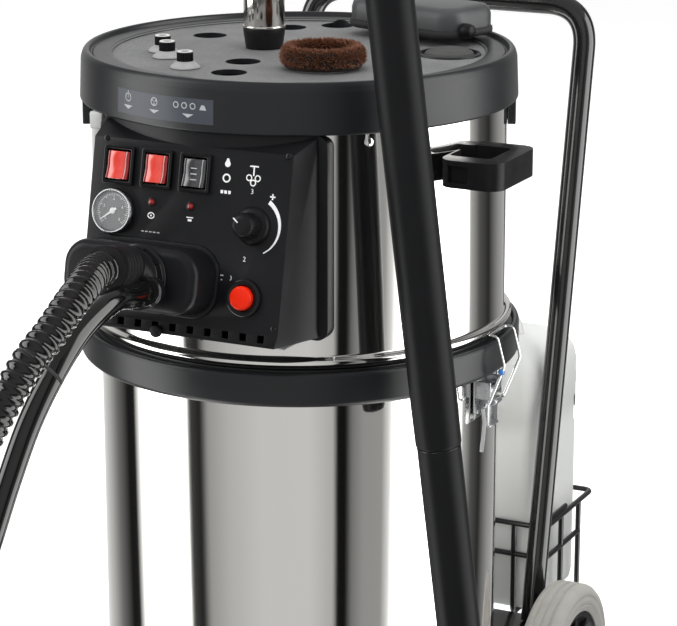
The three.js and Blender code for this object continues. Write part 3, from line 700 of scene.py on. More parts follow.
SUCTION_ROUTE = [
    (-25, -331.1, 632.7), (-25, -352, 632.7), (-13, -385, 632), (-8, -420, 622), (-11, -450, 602),
    (-16, -473, 586), (-28, -498, 551), (-46, -514, 508), (-68, -526, 458), (-90, -537, 402),
    (-107, -544, 342), (-119, -550, 280), (-129, -556, 218), (-138, -562, 160), (-151, -572, 107),
    (-172, -586, 64),
]
STEAM_ROUTE = [
    (-4, -302.3, 605.1), (-4, -320, 605.1), (-6, -345, 609), (-9, -372, 603), (-13, -400, 590),
    (-19, -432, 562), (-29, -456, 524), (-43, -472, 471), (-58, -484, 414), (-75, -496, 356),
    (-89, -506, 298), (-100, -515, 242), (-110, -524, 189), (-122, -533, 139), (-139, -543, 92),
    (-163, -556, 54),
]
SUCTION_LANDING = [(-205, -609, 31), (-245, -637, 17)]
STEAM_LANDING = [(-201, -577, 26), (-249, -607, 12.8)]
COIL_X = -399
COIL_Y = -507
HOSE_R = 15.5
STEAM_R = 11
GUN = Matrix.Translation((-487.7, -623, 52.5)) @ Matrix.Rotation(2.49, 4, "Z")


def coiled(radius, turn_in, height, last_angle, last_radius, last_height):
    """One flat turn inwards, then a rise over it to the gun."""
    points = []
    start = -55.3
    for i in range(25):
        t = i / 24
        points.append((start - 360 * t, radius - turn_in * t, height))
    inner = radius - turn_in
    for i in range(1, 9):
        t = i / 8
        lift = t * t * (3 - 2 * t)
        angle = start - 360 + (last_angle - (start - 360)) * t
        points.append((angle, inner + (last_radius - inner) * t, height + (last_height - height) * lift))
    return [
        (COIL_X + r * math.cos(math.radians(a)), COIL_Y + r * math.sin(math.radians(a)), z)
        for a, r, z in points
    ]


def add_hoses():
    pitch = 9.6

    def ribs(distance, turn):
        wave = math.cos((distance / pitch - turn) * math.tau)
        return HOSE_R - 1.35 + 1.35 * max(-1, min(1, 1.5 * wave))

    suction_end = coiled(195, 62, 15.8, -487.4, 146, 52.5)
    line = smooth_line([*SUCTION_ROUTE, *SUCTION_LANDING, *suction_end], pitch / 8)
    hose = build("suction_hose", sweep(line, ribs, 20), "hose", None,
                 ("suction_hose_run", "hose_coil"), angle=70)
    steam_end = coiled(166, 62, 11.4, -506.0, 122.4, 52.5)
    steam_line = smooth_line([*STEAM_ROUTE, *STEAM_LANDING, *steam_end], 6)
    steam = build("steam_hose", sweep(steam_line, STEAM_R, 24), "steam", None,
                  ("steam_hose_run",), angle=60)

    ties = []
    for share in (0.075, 0.19):
        a = line[round(len(line) * share)]
        b = min(steam_line, key=lambda p: (p - a).length)
        along = (line[round(len(line) * share) + 4] - a).normalized()
        out = (b - a).normalized()
        side = along.cross(out).normalized()
        near = (a + b) / 2
        gap = (b - a).length / 2
        loop = []
        for k in range(40):
            angle = k / 40 * math.tau
            reach = gap + (HOSE_R if math.cos(angle) < 0 else STEAM_R) + 1.0
            wide = STEAM_R + 2 + (HOSE_R - STEAM_R) * (1 - math.cos(angle)) / 2
            loop.append(near + out * (reach * math.cos(angle)) + side * (wide * math.sin(angle)))
        ties.append(sweep(loop, 1.6, 8, closed=True))
    clips = build("hose_clips", merged(*ties), "rubber", None, angle=60)

    top = MACHINE @ Vector((0, -330, 620))
    foot = MACHINE @ Vector((-100, -540, 160))
    for piece in (hose, steam, clips):
        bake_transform(piece, "head", "trolley", start=top, end=foot)

    gun = add_gun()
    # Left out of every reflection, because the photographed drums don't mirror them.
    for piece in (hose, steam, clips, *gun):
        piece.visible_glossy = False


def superellipse(half_y, half_z, power=3.2, sides=28):
    result = []
    for i in range(sides):
        angle = i / sides * math.tau
        c = math.cos(angle)
        s = math.sin(angle)
        result.append((
            half_y * math.copysign(abs(c) ** (2 / power), c),
            half_z * math.copysign(abs(s) ** (2 / power), s),
        ))
    return result


def loft(stations, matrix=None, power=3.2, sides=28):
    """Closed body through rounded sections; a station is (x, centre y, half y, half z)."""
    vertices = []
    for x, cy, hy, hz in stations:
        vertices.extend(Vector((x, cy + y, z)) for y, z in superellipse(hy, hz, power, sides))
    faces = [tuple(range(sides - 1, -1, -1))]
    for i in range(len(stations) - 1):
        for k in range(sides):
            m = (k + 1) % sides
            faces.append((i * sides + k, i * sides + m, (i + 1) * sides + m, (i + 1) * sides + k))
    faces.append(tuple((len(stations) - 1) * sides + k for k in range(sides)))
    if matrix:
        vertices = [matrix @ v for v in vertices]
    return vertices, faces


def add_gun():
    along = GUN @ Matrix.Rotation(math.pi / 2, 4, "Y")
    body = loft([
        (42, 0, 16, 17), (46, 0, 18.5, 19.5), (60, 1, 17.5, 19), (84, 3, 14.5, 17.5),
        (112, 4, 13.5, 17), (136, 3, 15.5, 18), (156, 1, 19, 19.6), (176, 0, 20, 20), (190, 0, 19.6, 19.6),
        (193, 0, 18, 18),
    ], GUN)
    shell = build("gun_grip", body, "black_satin", "trolley", ("gun_body",), edge=1.2, angle=40)
    cuff = lathe(softened([
        (0, 1), (21, 1), (22.5, 4), (22.5, 12), (20.5, 14), (20.5, 20), (22.5, 22), (22.5, 30), (20.5, 32),
        (20.5, 44), (16, 47), (0, 47),
    ], 1.2), 48)
    swivel = build("gun_swivel", cuff, "black_gloss", "trolley", matrix=along)
    nozzle = lathe(softened([
        (0, 186), (20, 186), (20.5, 192), (20.5, 199), (19.2, 200), (19.2, 204), (20.5, 205), (20.5, 226),
        (16.5, 226), (16.5, 206), (0, 206),
    ], 0.8), 48)
    tip = build("gun_nozzle", nozzle, "black_gloss", "trolley", matrix=along)
    elbow = rounded_path([(38, -30, 0), (58, -30, 0), (66, -14, 0)], 9)
    inlet = build("gun_steam_inlet", merged(
        sweep(elbow, 8.5, 20),
        sweep([(41, -30, 0), (52, -30, 0)], 12.2, 6),
    ), "zinc", "trolley", matrix=GUN, edge=0.6)
    button = lathe(softened([(0, 17), (6, 17), (6, 22), (0, 22.4)], 1.0), 24)
    lock = build("gun_lock_button", button, "trigger", "trolley",
                 matrix=GUN @ Matrix.Translation((164, 0, 0)) @ Matrix.Translation((0, 0, -1.5)))
    lever = [(3, -4), (-8, -8.5), (-30, -12.5), (-50, -14.5), (-53, -14), (-53, -11.5), (-30, -8.5),
             (-8, -3),
             (0, 4), (4, 2)]
    trigger = build("gun_trigger_lever", prism(lever, -6, 6, GUN @ Matrix.Translation((144, -13, 0))),
                    "trigger", "gun_trigger", ("gun_trigger",), edge=1.4)
    return [shell, swivel, tip, inlet, lock, trigger]


# ---------------------------------------------------------------- trolley

LEG_X = 165
LEG_LEAN = 0.191
LEG_FOOT_Y = 209.8
HANDLE_Z = 784


def leg_y(z):
    return LEG_FOOT_Y + LEG_LEAN * z


def add_trolley():
    refined("trolley_base", "black_coat", edge=1.6)
    axle = lathe(softened([(0, -233), (7, -233), (7, 233), (0, 233)], 1.5), 32,
                 Matrix.Translation((0, 195, 92)) @ Matrix.Rotation(math.pi / 2, 4, "Y"))
    build("axle_bar", axle, "zinc", "trolley", ("rear_axle",))
    corners = [
        (-LEG_X, leg_y(122.6), 122.6), (-LEG_X, leg_y(HANDLE_Z), HANDLE_Z),
        (LEG_X, leg_y(HANDLE_Z), HANDLE_Z), (LEG_X, leg_y(122.6), 122.6),
    ]
    build("push_bar", sweep(rounded_path(corners, 46, 16), 12, 40), "black_coat", "trolley",
          ("push_handle",), angle=60)
    holder = refined("wand_holder", "black_satin", edge=1.0)
    # Left out of reflections, like the hoses.
    holder.visible_glossy = False


def add_wheel(side):
    name = "left" if side < 0 else "right"
    spin = Matrix.Translation((side * 215, 195, 92)) @ Matrix.Rotation(math.pi / 2, 4, "Y")
    half = 21
    tread = [(63.3, -half + 2.5), (67, -half + 0.6), (80, -half), (83, -half)]
    tread += [(88, -half + 2.2), (91, -half + 6), (91.9, -half + 9)]
    for low, high in ((-9.5, -7.5), (-1, 1), (7.5, 9.5)):
        tread += [(92, low - 0.8), (90.4, low), (90.4, high), (92, high + 0.8)]
    tread += [(91.9, half - 9), (91, half - 6), (88, half - 2.2), (83, half), (81, half)]
    tread += [(79, half - 1.2), (77, half), (72, half), (70.5, half - 1.2), (69, half)]
    tread += [(67, half - 0.6), (63.3, half - 2.5), (63.3, -half + 2.5)]
    build(f"tyre_{name}", lathe(tread, 144, spin), "tyre", f"wheel_{name}",
          (f"wheel_tyre_{name}",), angle=40)
    hub = lathe(softened([
        (7.3, -half), (16, -half), (20, -half + 3), (22, -12), (50, -11), (58, -half + 4), (63, -half + 3),
        (63, half - 3), (58, half - 4), (50, 11), (22, 12), (20, half - 3), (16, half), (7.3, half),
        (7.3, -half),
    ], 1.5), 96, spin)
    spokes = []
    for i in range(10):
        turn = spin @ Matrix.Rotation(i / 10 * math.tau, 4, "Z")
        for z in (-1, 1):
            spokes.append(block(21, 57, -2.2, 2.2, min(z * 10, z * 17), max(z * 10, z * 17), turn))
    build(f"hub_{name}", merged(hub, *spokes), "black_satin", f"wheel_{name}",
          (f"wheel_hub_{name}",), edge=0.6, segments=2)
    caps = [
        lathe(softened([(0, z * 21.2), (13, z * 21.2), (13, z * 22.4), (9, z * 26.5), (0, z * 28)], 1.5), 40,
              spin)
        for z in (-1, 1)
    ]
    build(f"hub_cap_{name}", merged(*caps), "zinc", f"wheel_{name}")


def add_castor(side):
    name = "left" if side < 0 else "right"
    refined(f"castor_fork_{name}", "zinc", edge=0.7, segments=2)
    roll = Matrix.Translation((side * 140, -126, 37)) @ Matrix.Rotation(math.pi / 2, 4, "Y")
    wheel = lathe(softened([
        (4.3, -12), (11, -12), (12, -8), (27, -8), (30, -12), (33, -12), (37, -8), (37, 8), (33, 12),
        (30, 12), (27, 8), (12, 8), (11, 12), (4.3, 12), (4.3, -12),
    ], 1.4), 72, roll)
    build(f"castor_tread_{name}", wheel, "castor_tread", f"castor_{name}_wheel",
          (f"castor_wheel_{name}",))


def add_basket():
    x, y0, y1, low, mid, high, wire = 165, 268.5, 410, 111, 182, 218, 3
    parts = []
    corners = [(-x, y0), (x, y0), (x, y1), (-x, y1)]
    loop = [Vector((px, py, high)) for px, py in softened([*corners, corners[0]], 9)][:-1]
    parts.append(sweep(loop, wire, 14, closed=True))
    # The middle rail runs round the front and the sides, and stops at the rear hoop.
    middle = rounded_path([(-x, y1 - 40, mid), (-x, y0, mid), (x, y0, mid), (x, y1 - 40, mid)], 9)
    parts.append(sweep(middle, wire, 14))
    for y in (y0 + 48, y1 - 40):
        hoop = rounded_path([(-x, y, high), (-x, y, low), (x, y, low), (x, y, high)], 10)
        parts.append(sweep(hoop, wire, 14))
    for across in (-128, 0, 128):
        hoop = rounded_path([(across, y0, high), (across, y0, low), (across, y1, low), (across, y1, high)],
                            10)
        parts.append(sweep(hoop, wire, 14))
    for side in (-1, 1):
        tab = rounded_path([(side * (x - 2), y0 + 10, high + 5.5), (side * (x - 2), y0 + 66, high + 5.5)], 1)
        parts.append(sweep(tab, 2.6, 12))
    build("basket_wires", merged(*parts), "wire", "trolley", ("can_basket",), angle=60)


def add_can():
    low = 114.5
    rows = [
        (low, 6, 18), (low + 5, 1.5, 22), (low + 14, 0, 22), (306, 0, 22), (309, 1.2, 22), (336, 1.2, 22),
        (339, 0, 22), (382, 0, 22), (394, 2.0, 22), (403, 6, 22), (411, 14, 20), (417, 26, 16),
        (419.5, 36, 10),
    ]
    vertices = []
    faces = []
    count = 0
    for z, inset, radius in rows:
        outline = rounded_outline(-152 + inset, 152 - inset, 274 + inset, 404 - inset, radius, 8)
        count = len(outline)
        vertices.extend(Vector((px, py, z)) for px, py in outline)
    for i in range(len(rows) - 1):
        for k in range(count):
            m = (k + 1) % count
            faces.append((i * count + k, i * count + m, (i + 1) * count + m, (i + 1) * count + k))
    faces.append(tuple(range(count - 1, -1, -1)))
    faces.append(tuple((len(rows) - 1) * count + k for k in range(count)))
    grip = sweep(rounded_path([(-42, 328, 410), (-38, 328, 438), (96, 328, 438), (104, 328, 410)], 14), 9.4,
                 24)
    neck = lathe(softened([(21, 411), (21, 420), (19.5, 430), (17.5, 430), (17.5, 411), (21, 411)], 0.8), 48,
                 Matrix.Translation((-92, 328, 0)))
    build("water_can", merged((vertices, faces), grip, neck), "can", "can", ("can_body",), angle=50)

    cap = lathe(softened([(21.6, 420.5), (26, 420.5), (26, 439), (23, 442), (0, 442), (0, 430.5),
                          (21.6, 430.5),
                          (21.6, 420.5)], 1.0), 60)
    knurls = [
        block(25.4, 26.9, -0.7, 0.7, 422, 438.5,
              Matrix.Rotation(i / 36 * math.tau, 4, "Z")) for i in range(36)
    ]
    build("screw_cap", merged(cap, *knurls), "cap", "can_cap", ("can_cap",),
          matrix=Matrix.Translation((-92, 328, 0)))

    # A plain two-tone sticker wraps the corner of the can near the push bar.
    outline = rounded_outline(-152.3, 152.3, 273.7, 404.3, 22.3, 12)
    strips = []
    for first, last, z0, z1, material in ((2, 12, 352, 366, "orange"), (2, 12, 322, 350, "white_print")):
        band = [outline[13 + k] for k in range(first, last)]
        verts = [Vector((px, py, z0)) for px, py in band] + [Vector((px, py, z1)) for px, py in band]
        inner = [Vector((px - 0.5, py - 0.4, z)) for z in (z0, z1) for px, py in band]
        n = len(band)
        quads = [(k, k + 1, n + k + 1, n + k) for k in range(n - 1)]
        quads += [(2 * n + k, 3 * n + k, 3 * n + k + 1, 2 * n + k + 1) for k in range(n - 1)]
        quads += [(k, 2 * n + k, 2 * n + k + 1, k + 1) for k in range(n - 1)]
        quads += [(n + k, n + k + 1, 3 * n + k + 1, 3 * n + k) for k in range(n - 1)]
        quads += [(0, n, 3 * n, 2 * n), (n - 1, 3 * n - 1, 4 * n - 1, 2 * n - 1)]
        strips.append((f"can_sticker_{material}", (verts + inner, quads), material))
    for name, shape, material in strips:
        build(name, shape, material, "can")


# ---------------------------------------------------------------- drums, band and latches

def add_drums():
    build("recovery_drum", lathe(softened([
        (0, 120.4), (188, 120.4), (200, 128), (200, 510), (198, 510), (198, 129), (187, 122.5), (0, 122.5),
    ], 2.0), ROUND), "steel", "trolley", ("lower_drum",))
    build("drum_collar", lathe(softened([
        (200.3, 479), (216.5, 479), (220.3, 483), (220.3, 509), (218.6, 512), (214.5, 512), (213.5, 506.5),
        (205.5, 506.5), (204.8, 512), (200.3, 512), (200.3, 479),
    ], 1.6), ROUND), "anthracite", "trolley", ("drum_band",))
    build("head_gasket", lathe(softened([
        (188, 512.3), (203, 512.3), (206.5, 513.2), (206.5, 515), (203, 515.7), (188, 515.7), (188, 512.3),
    ], 0.8), ROUND), "rubber", "head", ("head_seal",))
    bead = [(203, 516)]
    for i in range(11):
        angle = math.radians(-90 + i * 18)
        bead.append((208.9 + 3.7 * math.cos(angle), 519.7 + 3.7 * math.sin(angle)))
    bead += [(206.4, 523.9), (205, 526), (205, 766), (203, 766), (203, 516)]
    build("head_drum", lathe(bead, ROUND), "steel", "head", ("upper_drum",), angle=50)
    seams = []
    for radius, low, high, turn in ((200, 132, 478, 2.25), (205, 527, 735, 2.25)):
        weld = Matrix.Rotation(turn, 4, "Z")
        seams.append(block(radius - 0.6, radius + 0.25, -0.8, 0.8, low, high, weld))
    build("lower_weld", seams[0], "bead", "trolley", edge=0.2, segments=2)
    build("upper_weld", seams[1], "bead", "head", edge=0.2, segments=2)


def add_latch(side):
    name = "left" if side < 0 else "right"
    mirror = Matrix.Rotation(0 if side > 0 else math.pi, 4, "Z")
    at = Matrix.Translation((0, -6, 0)) @ mirror
    body = f"latch_{name}"
    plate = block(200.3, 202.3, -17, 17, 433, 477, at)
    ears = [block(201, 218, s * 14.5 - 1.2, s * 14.5 + 1.2, 454, 472, at) for s in (-1, 1)]
    pin = sweep([at @ Vector((213, -16, 462)), at @ Vector((213, 16, 462))], 2, 16)
    rivets = [
        lathe([(0, 202), (3.2, 202), (2.6, 203.4), (0, 204)], 20,
              at @ Matrix.Translation((0, y, 440)) @ Matrix.Rotation(math.pi / 2, 4, "Y"))
        for y in (-10, 10)
    ]
    build(f"latch_plate_{name}", merged(plate, *ears, pin, *rivets), "zinc", "trolley",
          (f"latch_base_{name}",), edge=0.5, segments=2)
    outline = [(-11, 424), (11, 424), (12, 430), (12, 452), (9, 456), (9, 464), (-9, 464), (-9, 456),
               (-12, 452),
               (-12, 430)]
    stand = at @ Matrix(((0, 0, 1, 0), (1, 0, 0, 0), (0, 1, 0, 0), (0, 0, 0, 1)))
    blade = prism(outline, 212.3, 214.3, stand)
    lip = sweep([at @ Vector((214.6, -11, 425.4)), at @ Vector((214.6, 11, 425.4))], 1.6, 12)
    barrel = sweep([at @ Vector((213, -11.5, 462)), at @ Vector((213, 11.5, 462))], 4.4, 20)
    knuckle = sweep([at @ Vector((217.5, -8, 450)), at @ Vector((217.5, 8, 450))], 3.4, 16)
    build(f"latch_handle_{name}", merged(blade, lip, barrel, knuckle), "zinc", f"{body}_lever",
          (f"latch_lever_{name}",), edge=0.4, segments=2)
    wire = rounded_path([
        (217.5, -9, 450), (217.5, -20, 450), (234, -20, 492), (226, -20, 521), (217.5, -20, 521),
        (217.5, 20, 521),
        (226, 20, 521), (234, 20, 492), (217.5, 20, 450), (217.5, 9, 450),
    ], 4)
    build(f"latch_wire_{name}", sweep([at @ p for p in wire], 1.35, 14), "bright_wire", f"{body}_bail",
          (f"latch_bail_{name}",), angle=60)
    if side > 0:
        bead = lathe([(0, -3.4), (2.4, -2.6), (3.4, 0), (2.4, 2.6), (0, 3.4)], 20)
        build("latch_blue_bead", bead, "blue", f"{body}_bail",
              matrix=at @ Matrix.Translation((231, -20, 486)), angle=80)
        tag = [Vector((214, -24, 448)), Vector((216, -25, 434)), Vector((215, -25, 418)),
               Vector((213, -24, 404))]
        build("latch_tag", sweep([at @ p for p in tag], 2.1, 8), "clear", "trolley", angle=60)


def add_insides():
    build("head_floor", lathe(softened([
        (40, 516), (201.3, 516), (201.3, 519), (150, 519), (148, 521), (120, 521), (118, 519), (40, 519),
        (40, 516),
    ], 0.8), 96), "black_satin", "head", ("bulkhead",))
    boiler = lathe(softened([
        (0, 519.3), (40, 519.3), (62, 525), (70, 537), (70, 586), (71.5, 588), (70, 590), (70, 643),
        (62, 654),
        (40, 659), (0, 659.3),
    ], 4), 72, Matrix.Translation((-92, 72, 0)))
    build("boiler_shell", boiler, "chrome", "head", ("boiler",))
    motor = lathe(softened([
        (0, 519.3), (66, 519.3), (66, 560), (62, 563), (46, 566), (46, 600), (44, 602), (46, 604), (46, 636),
        (30, 639), (0, 639),
    ], 1.5), 72, Matrix.Translation((88, 84, 0)))
    build("motor_shell", motor, "cast", "head", ("suction_motor",))
    refined("water_pump", "brass", edge=1.5)
    refined("float_cage", "black_satin", edge=0.6, segments=2)
    ball = []
    for i in range(17):
        angle = math.radians(-90 + i * 180 / 16)
        ball.append((27 * math.cos(angle) if 0 < i < 16 else 0, 455 + 27 * math.sin(angle)))
    build("float_sphere", lathe(ball, 48), "float", "float", ("float_ball",), angle=80)
    refined("mains_inlet", "black_satin", edge=1.0)


# ---------------------------------------------------------------- control housing

ROCKERS = (-78.5, -38, 2.5)


def crescent(x, y, radius, start, end, thick, thin, steps=40):
    """A tapering arc as an outline; angles in degrees."""
    outer = []
    inner = []
    for i in range(steps + 1):
        t = i / steps
        angle = math.radians(start + (end - start) * t)
        half = (thick + (thin - thick) * t) / 2
        outer.append((x + (radius + half) * math.cos(angle), y + (radius + half) * math.sin(angle)))
        inner.append((x + (radius - half) * math.cos(angle), y + (radius - half) * math.sin(angle)))
    return outer + inner[::-1]


def digits(text, x, y, height, thickness=0.15):
    """Plain figures for a dial, as a solid in face coordinates."""
    curve = bpy.data.curves.new("figure", "FONT")
    curve.body = text
    curve.size = height * 1.4
    curve.align_x = "CENTER"
    curve.align_y = "CENTER"
    curve.extrude = thickness
    curve.resolution_u = 3
    source = bpy.data.objects.new("figure", curve)
    scene.collection.objects.link(source)
    bpy.context.view_layer.update()
    graph = bpy.context.evaluated_depsgraph_get()
    mesh = bpy.data.meshes.new_from_object(source.evaluated_get(graph))
    vertices = [Vector((v.co.x + x, v.co.y + y, v.co.z)) for v in mesh.vertices]
    faces = [tuple(p.vertices) for p in mesh.polygons]
    bpy.data.objects.remove(source)
    return vertices, faces


def add_prints():
    """White marks on the face: plain symbols and scale figures."""
    marks = [prism(crescent(66, 13, 27, 58, -62, 4.2, 0.9), -0.05, 0.15)]
    marks.append(digits("3", 62, 43.5, 4.6))
    marks.append(digits("2", 60, -18.5, 4.6))
    for box in ((82.6, 84.0, 38.2, 43.6), (80.6, 86.0, 40.2, 41.6)):
        marks.append(block(*box, -0.05, 0.15))
    # Drop, ring and wave beside the third rocker.
    drop = []
    for i in range(24):
        angle = i / 24 * math.tau
        reach = 2.9 if math.sin(angle) < 0.5 else 2.9 + 3.2 * (math.sin(angle) - 0.5) ** 2 * 3
        drop.append((34.5 + reach * math.cos(angle) * (1 if math.sin(angle) < 0.5 else 0.75),
                     66.5 + reach * math.sin(angle)))
    marks.append(prism(drop, -0.05, 0.15))
    marks.append(prism(crescent(34.5, 53.5, 3.4, 0, 359.9, 1.5, 1.5), -0.05, 0.15))
    for k in range(3):
        marks.append(block(29.5 + k * 3.9, 32.2 + k * 3.9, 39.2, 42.2, -0.05, 0.15))
    # Steam symbol over the knob: a bar and three puffs.
    marks.append(block(57.5, 66.5, 66, 67.3, -0.05, 0.15))
    marks.append(block(61.3, 62.7, 58, 66, -0.05, 0.15))
    for px, py in ((57.6, 56), (66.4, 56), (62, 51.6)):
        marks.append(prism(crescent(px, py, 2.6, 0, 359.9, 1.1, 1.1), -0.05, 0.15))
    # Small symbols under the two lamps.
    marks.append(prism(crescent(-41, 10.5, 3.6, 20, 160, 1.0, 1.0), -0.05, 0.15))
    marks.append(prism(crescent(-41, 12.5, 3.6, -160, -20, 1.0, 1.0), -0.05, 0.15))
    marks.append(prism(circle(-41, 11.5, 0.9), -0.05, 0.15))
    marks.append(block(-3.5, 3.5, 13.2, 14.2, -0.05, 0.15))
    marks.append(block(-2, 2, 10.2, 12.2, -0.05, 0.15))
    build("face_prints", merged(*marks), "white_print", "head", matrix=FACE)
    faint = [block(-50 + k * 4.2, -47.4 + k * 4.2, -4.2, -3.2, -0.05, 0.15) for k in range(5)]
    faint += [block(37, 40, -36, -34.8, -0.05, 0.15), block(37.8, 39.2, -40, -38.8, -0.05, 0.15)]
    faint.append(prism(crescent(46, -37, 2.4, -60, 60, 0.9, 0.9), -0.05, 0.15))
    build("face_prints_small", merged(*faint), "grey_print", "head", matrix=FACE)


def add_control_face():
    refined("control_housing", "panel", edge=1.8, segments=3)
    add_prints()

    for i, x in enumerate(ROCKERS):
        profile = [(-12.8, -2), (12.8, -2), (12.9, 3.4), (6, 4.0), (0, 3.5), (-6, 4.6), (-12.9, 6.3)]
        turn = FACE @ Matrix.Translation((x, 55, 0)) @ Matrix((
            (0, 0, 1, 0), (1, 0, 0, 0), (0, 1, 0, 0), (0, 0, 0, 1),
        ))
        material = "red_clear" if i < 2 else "smoke"
        build(f"rocker_cap_{i + 1}", prism(profile, -9.2, 6.8, turn), material, f"rocker_{i + 1}",
              (f"rocker_{i + 1}",), edge=0.7)
        cheek = prism(profile, 7.0, 11.3, turn)
        other = prism(profile, -11.3, -9.4, turn)
        build(f"rocker_cheeks_{i + 1}", merged(cheek, other), "red_dark" if i < 2 else "smoke",
              f"rocker_{i + 1}", edge=0.5, segments=2)
        rim = rounded_outline(-16, 16, -18, 18, 2.2, 4)
        hole = rounded_outline(-12.9, 12.9, -14.9, 14.9, 1.2, 4)
        frame_shape = frame_of(rim, hole, 0.2, 4.6)
        build(f"rocker_frame_{i + 1}", frame_shape, "black_gloss", "head",
              matrix=face_at(x, 55), edge=0.9)
    ticks = []
    for k in range(3):
        ticks.append(block(-3.2, 3.2, -6.6 + 5.2 * k, -5.6 + 5.2 * k, 4.3, 4.9, face_at(2.5, 55)))
    build("rocker_marks", merged(*ticks), "grey_print", "rocker_3")

    for i, x in enumerate((-41, 0)):
        lamp = lathe(softened([(0, -0.5), (3.1, -0.5), (3.1, 1.2), (2.4, 2.8), (1.2, 3.6), (0, 3.8)], 0.6),
                     32)
        build(f"lamp_{i + 1}", lamp, "red_dark", "head", matrix=face_at(x, 24), angle=60)
        ring = lathe(softened([(3.2, -0.4), (4.3, -0.4), (4.3, 0.7), (3.2, 0.9), (3.2, -0.4)], 0.3), 32)
        build(f"lamp_ring_{i + 1}", ring, "black_gloss", "head", matrix=face_at(x, 24))

    add_gauge()
    add_knob()

    button = lathe(softened([(0, 3.5), (11.2, 3.5), (11.2, 9.2), (9.6, 11.0), (0, 11.4)], 1.2), 56)
    build("button_cap", button, "red_button", "button", ("push_button",),
          matrix=face_at(64, -53.5), angle=50)
    collar = lathe(softened([(11.8, 0.2), (18, 0.2), (17.4, 4.6), (16, 5.8), (11.8, 5.4), (11.8, 0.2)], 0.9),
                   56)
    build("button_collar", collar, "black_gloss", "head", matrix=face_at(64, -53.5))

    # The housing's upper lip follows the drum and closes the gap under the tray.
    spread = [math.radians(-121 + i * 3.1) for i in range(21)]
    lip = [((HEAD_R + 0.4) * math.cos(a), (HEAD_R + 0.4) * math.sin(a)) for a in spread]
    lip += [((HEAD_R + 5) * math.cos(a), (HEAD_R + 5) * math.sin(a)) for a in reversed(spread)]
    build("housing_lip", prism(lip, 712, TRAY_LOW - 0.3), "panel", "head", edge=0.8)

    screws = []
    for place in ((-95, 79), (96, 79), (96, -78)):
        screws.append(lathe(softened([(0, 0), (3, 0), (2.6, 1.2), (0, 1.6)], 0.4), 20, face_at(*place)))
    build("face_screws", merged(*screws), "black_gloss", "head")
    boss = lathe(softened([(0, 0), (6, 0), (5.6, 4), (0, 4.4)], 0.8), 32)
    build("skirt_boss", boss, "black_satin", "head",
          matrix=Matrix.Translation((-24, -246.5, 552)) @ Matrix.Rotation(math.radians(90), 4, "X"))


def frame_of(rim, hole, low, high):
    """A flat frame between two outlines with the same number of points."""
    count = len(rim)
    vertices = []
    for outline, z in ((rim, low), (rim, high), (hole, high), (hole, low)):
        vertices.extend(Vector((px, py, z)) for px, py in outline)
    faces = []
    for ring_index in range(4):
        start = ring_index * count
        after = (ring_index + 1) % 4 * count
        for k in range(count):
            m = (k + 1) % count
            faces.append((start + k, start + m, after + m, after + k))
    return vertices, faces


def add_gauge():
    place = face_at(-80, 12)
    bezel = lathe(softened([
        (0, 0.3), (21.4, 0.3), (21.4, 5.5), (20.4, 7.6), (19.2, 7.6), (18.4, 5.5), (18.4, 3.1), (0, 3.1),
    ], 0.9), 80)
    build("gauge_bezel", bezel, "zinc", "head", ("gauge_body",), matrix=place)
    dial = lathe([(0, 3.0), (18.2, 3.0), (18.2, 3.5), (0, 3.5)], 64)
    build("gauge_dial", dial, "dial", "head", matrix=place)
    marks = []
    for i in range(41):
        angle = math.radians(225 - i * 270 / 40)
        turn = Matrix.Rotation(angle, 4, "Z")
        inner = 13.2 if i % 5 == 0 else 14.6
        marks.append(block(inner, 16.4, -0.22, 0.22, 3.45, 3.65, turn))
    for i in range(0, 9, 2):
        angle = math.radians(225 - i * 270 / 8)
        number = digits(str(i), 10.6 * math.cos(angle), 10.6 * math.sin(angle), 2.6, 0.1)
        marks.append(([v + Vector((0, 0, 3.55)) for v in number[0]], number[1]))
    build("gauge_marks", merged(*marks), "white_print", "head", matrix=place)
    needle = prism([(-15.2, -0.35), (-2, -1.0), (4.5, -1.2), (4.5, 1.2), (-2, 1.0), (-15.2, 0.35)], 4.3, 4.8)
    hub = lathe(softened([(0, 3.7), (3, 3.7), (3, 5.0), (0, 5.5)], 0.6), 28)
    turned_needle = ([Matrix.Rotation(math.pi / 5, 4, "Z") @ v for v in needle[0]], needle[1])
    build("gauge_pointer", merged(turned_needle, hub), "white_print", "needle",
          ("gauge_needle",), matrix=place)
    lens = lathe([(0, 7.4), (9, 7.2), (18.3, 6.4), (18.3, 5.8), (9, 6.6), (0, 6.8)], 64)
    build("gauge_window", lens, "glass", "head", ("gauge_lens",), matrix=place, angle=60)


def add_knob():
    place = face_at(66, 13)
    skirt = lathe(softened([(0, 0.4), (17.6, 0.4), (17.6, 2), (15.8, 5.4), (12.6, 7), (0, 7)], 1.2), 72)
    body = lathe(softened([(0, 6), (12.2, 6), (11, 20), (10.2, 23.2), (7.5, 25), (0, 25)], 1.6), 72)
    ribs = []
    for i in range(24):
        turn = Matrix.Rotation(i / 24 * math.tau, 4, "Z")
        ribs.append(loft([(7.2, 0, 0.55, 0.55), (19.5, 0, 0.55, 0.55)],
                         turn @ Matrix.Translation((11.4, 0, 0)) @ Matrix.Rotation(-math.pi / 2, 4, "Y"), 2,
                         8))
    build("knob_body", merged(skirt, body, *ribs), "black_satin", "knob", ("regulator_knob",),
          matrix=place)
    pointer = block(-0.6, 0.6, 4, 10.2, 24.7, 25.15, place @ Matrix.Rotation(0.9, 4, "Z"))
    build("knob_pointer", pointer, "white_print", "knob")


# ---------------------------------------------------------------- hose connector

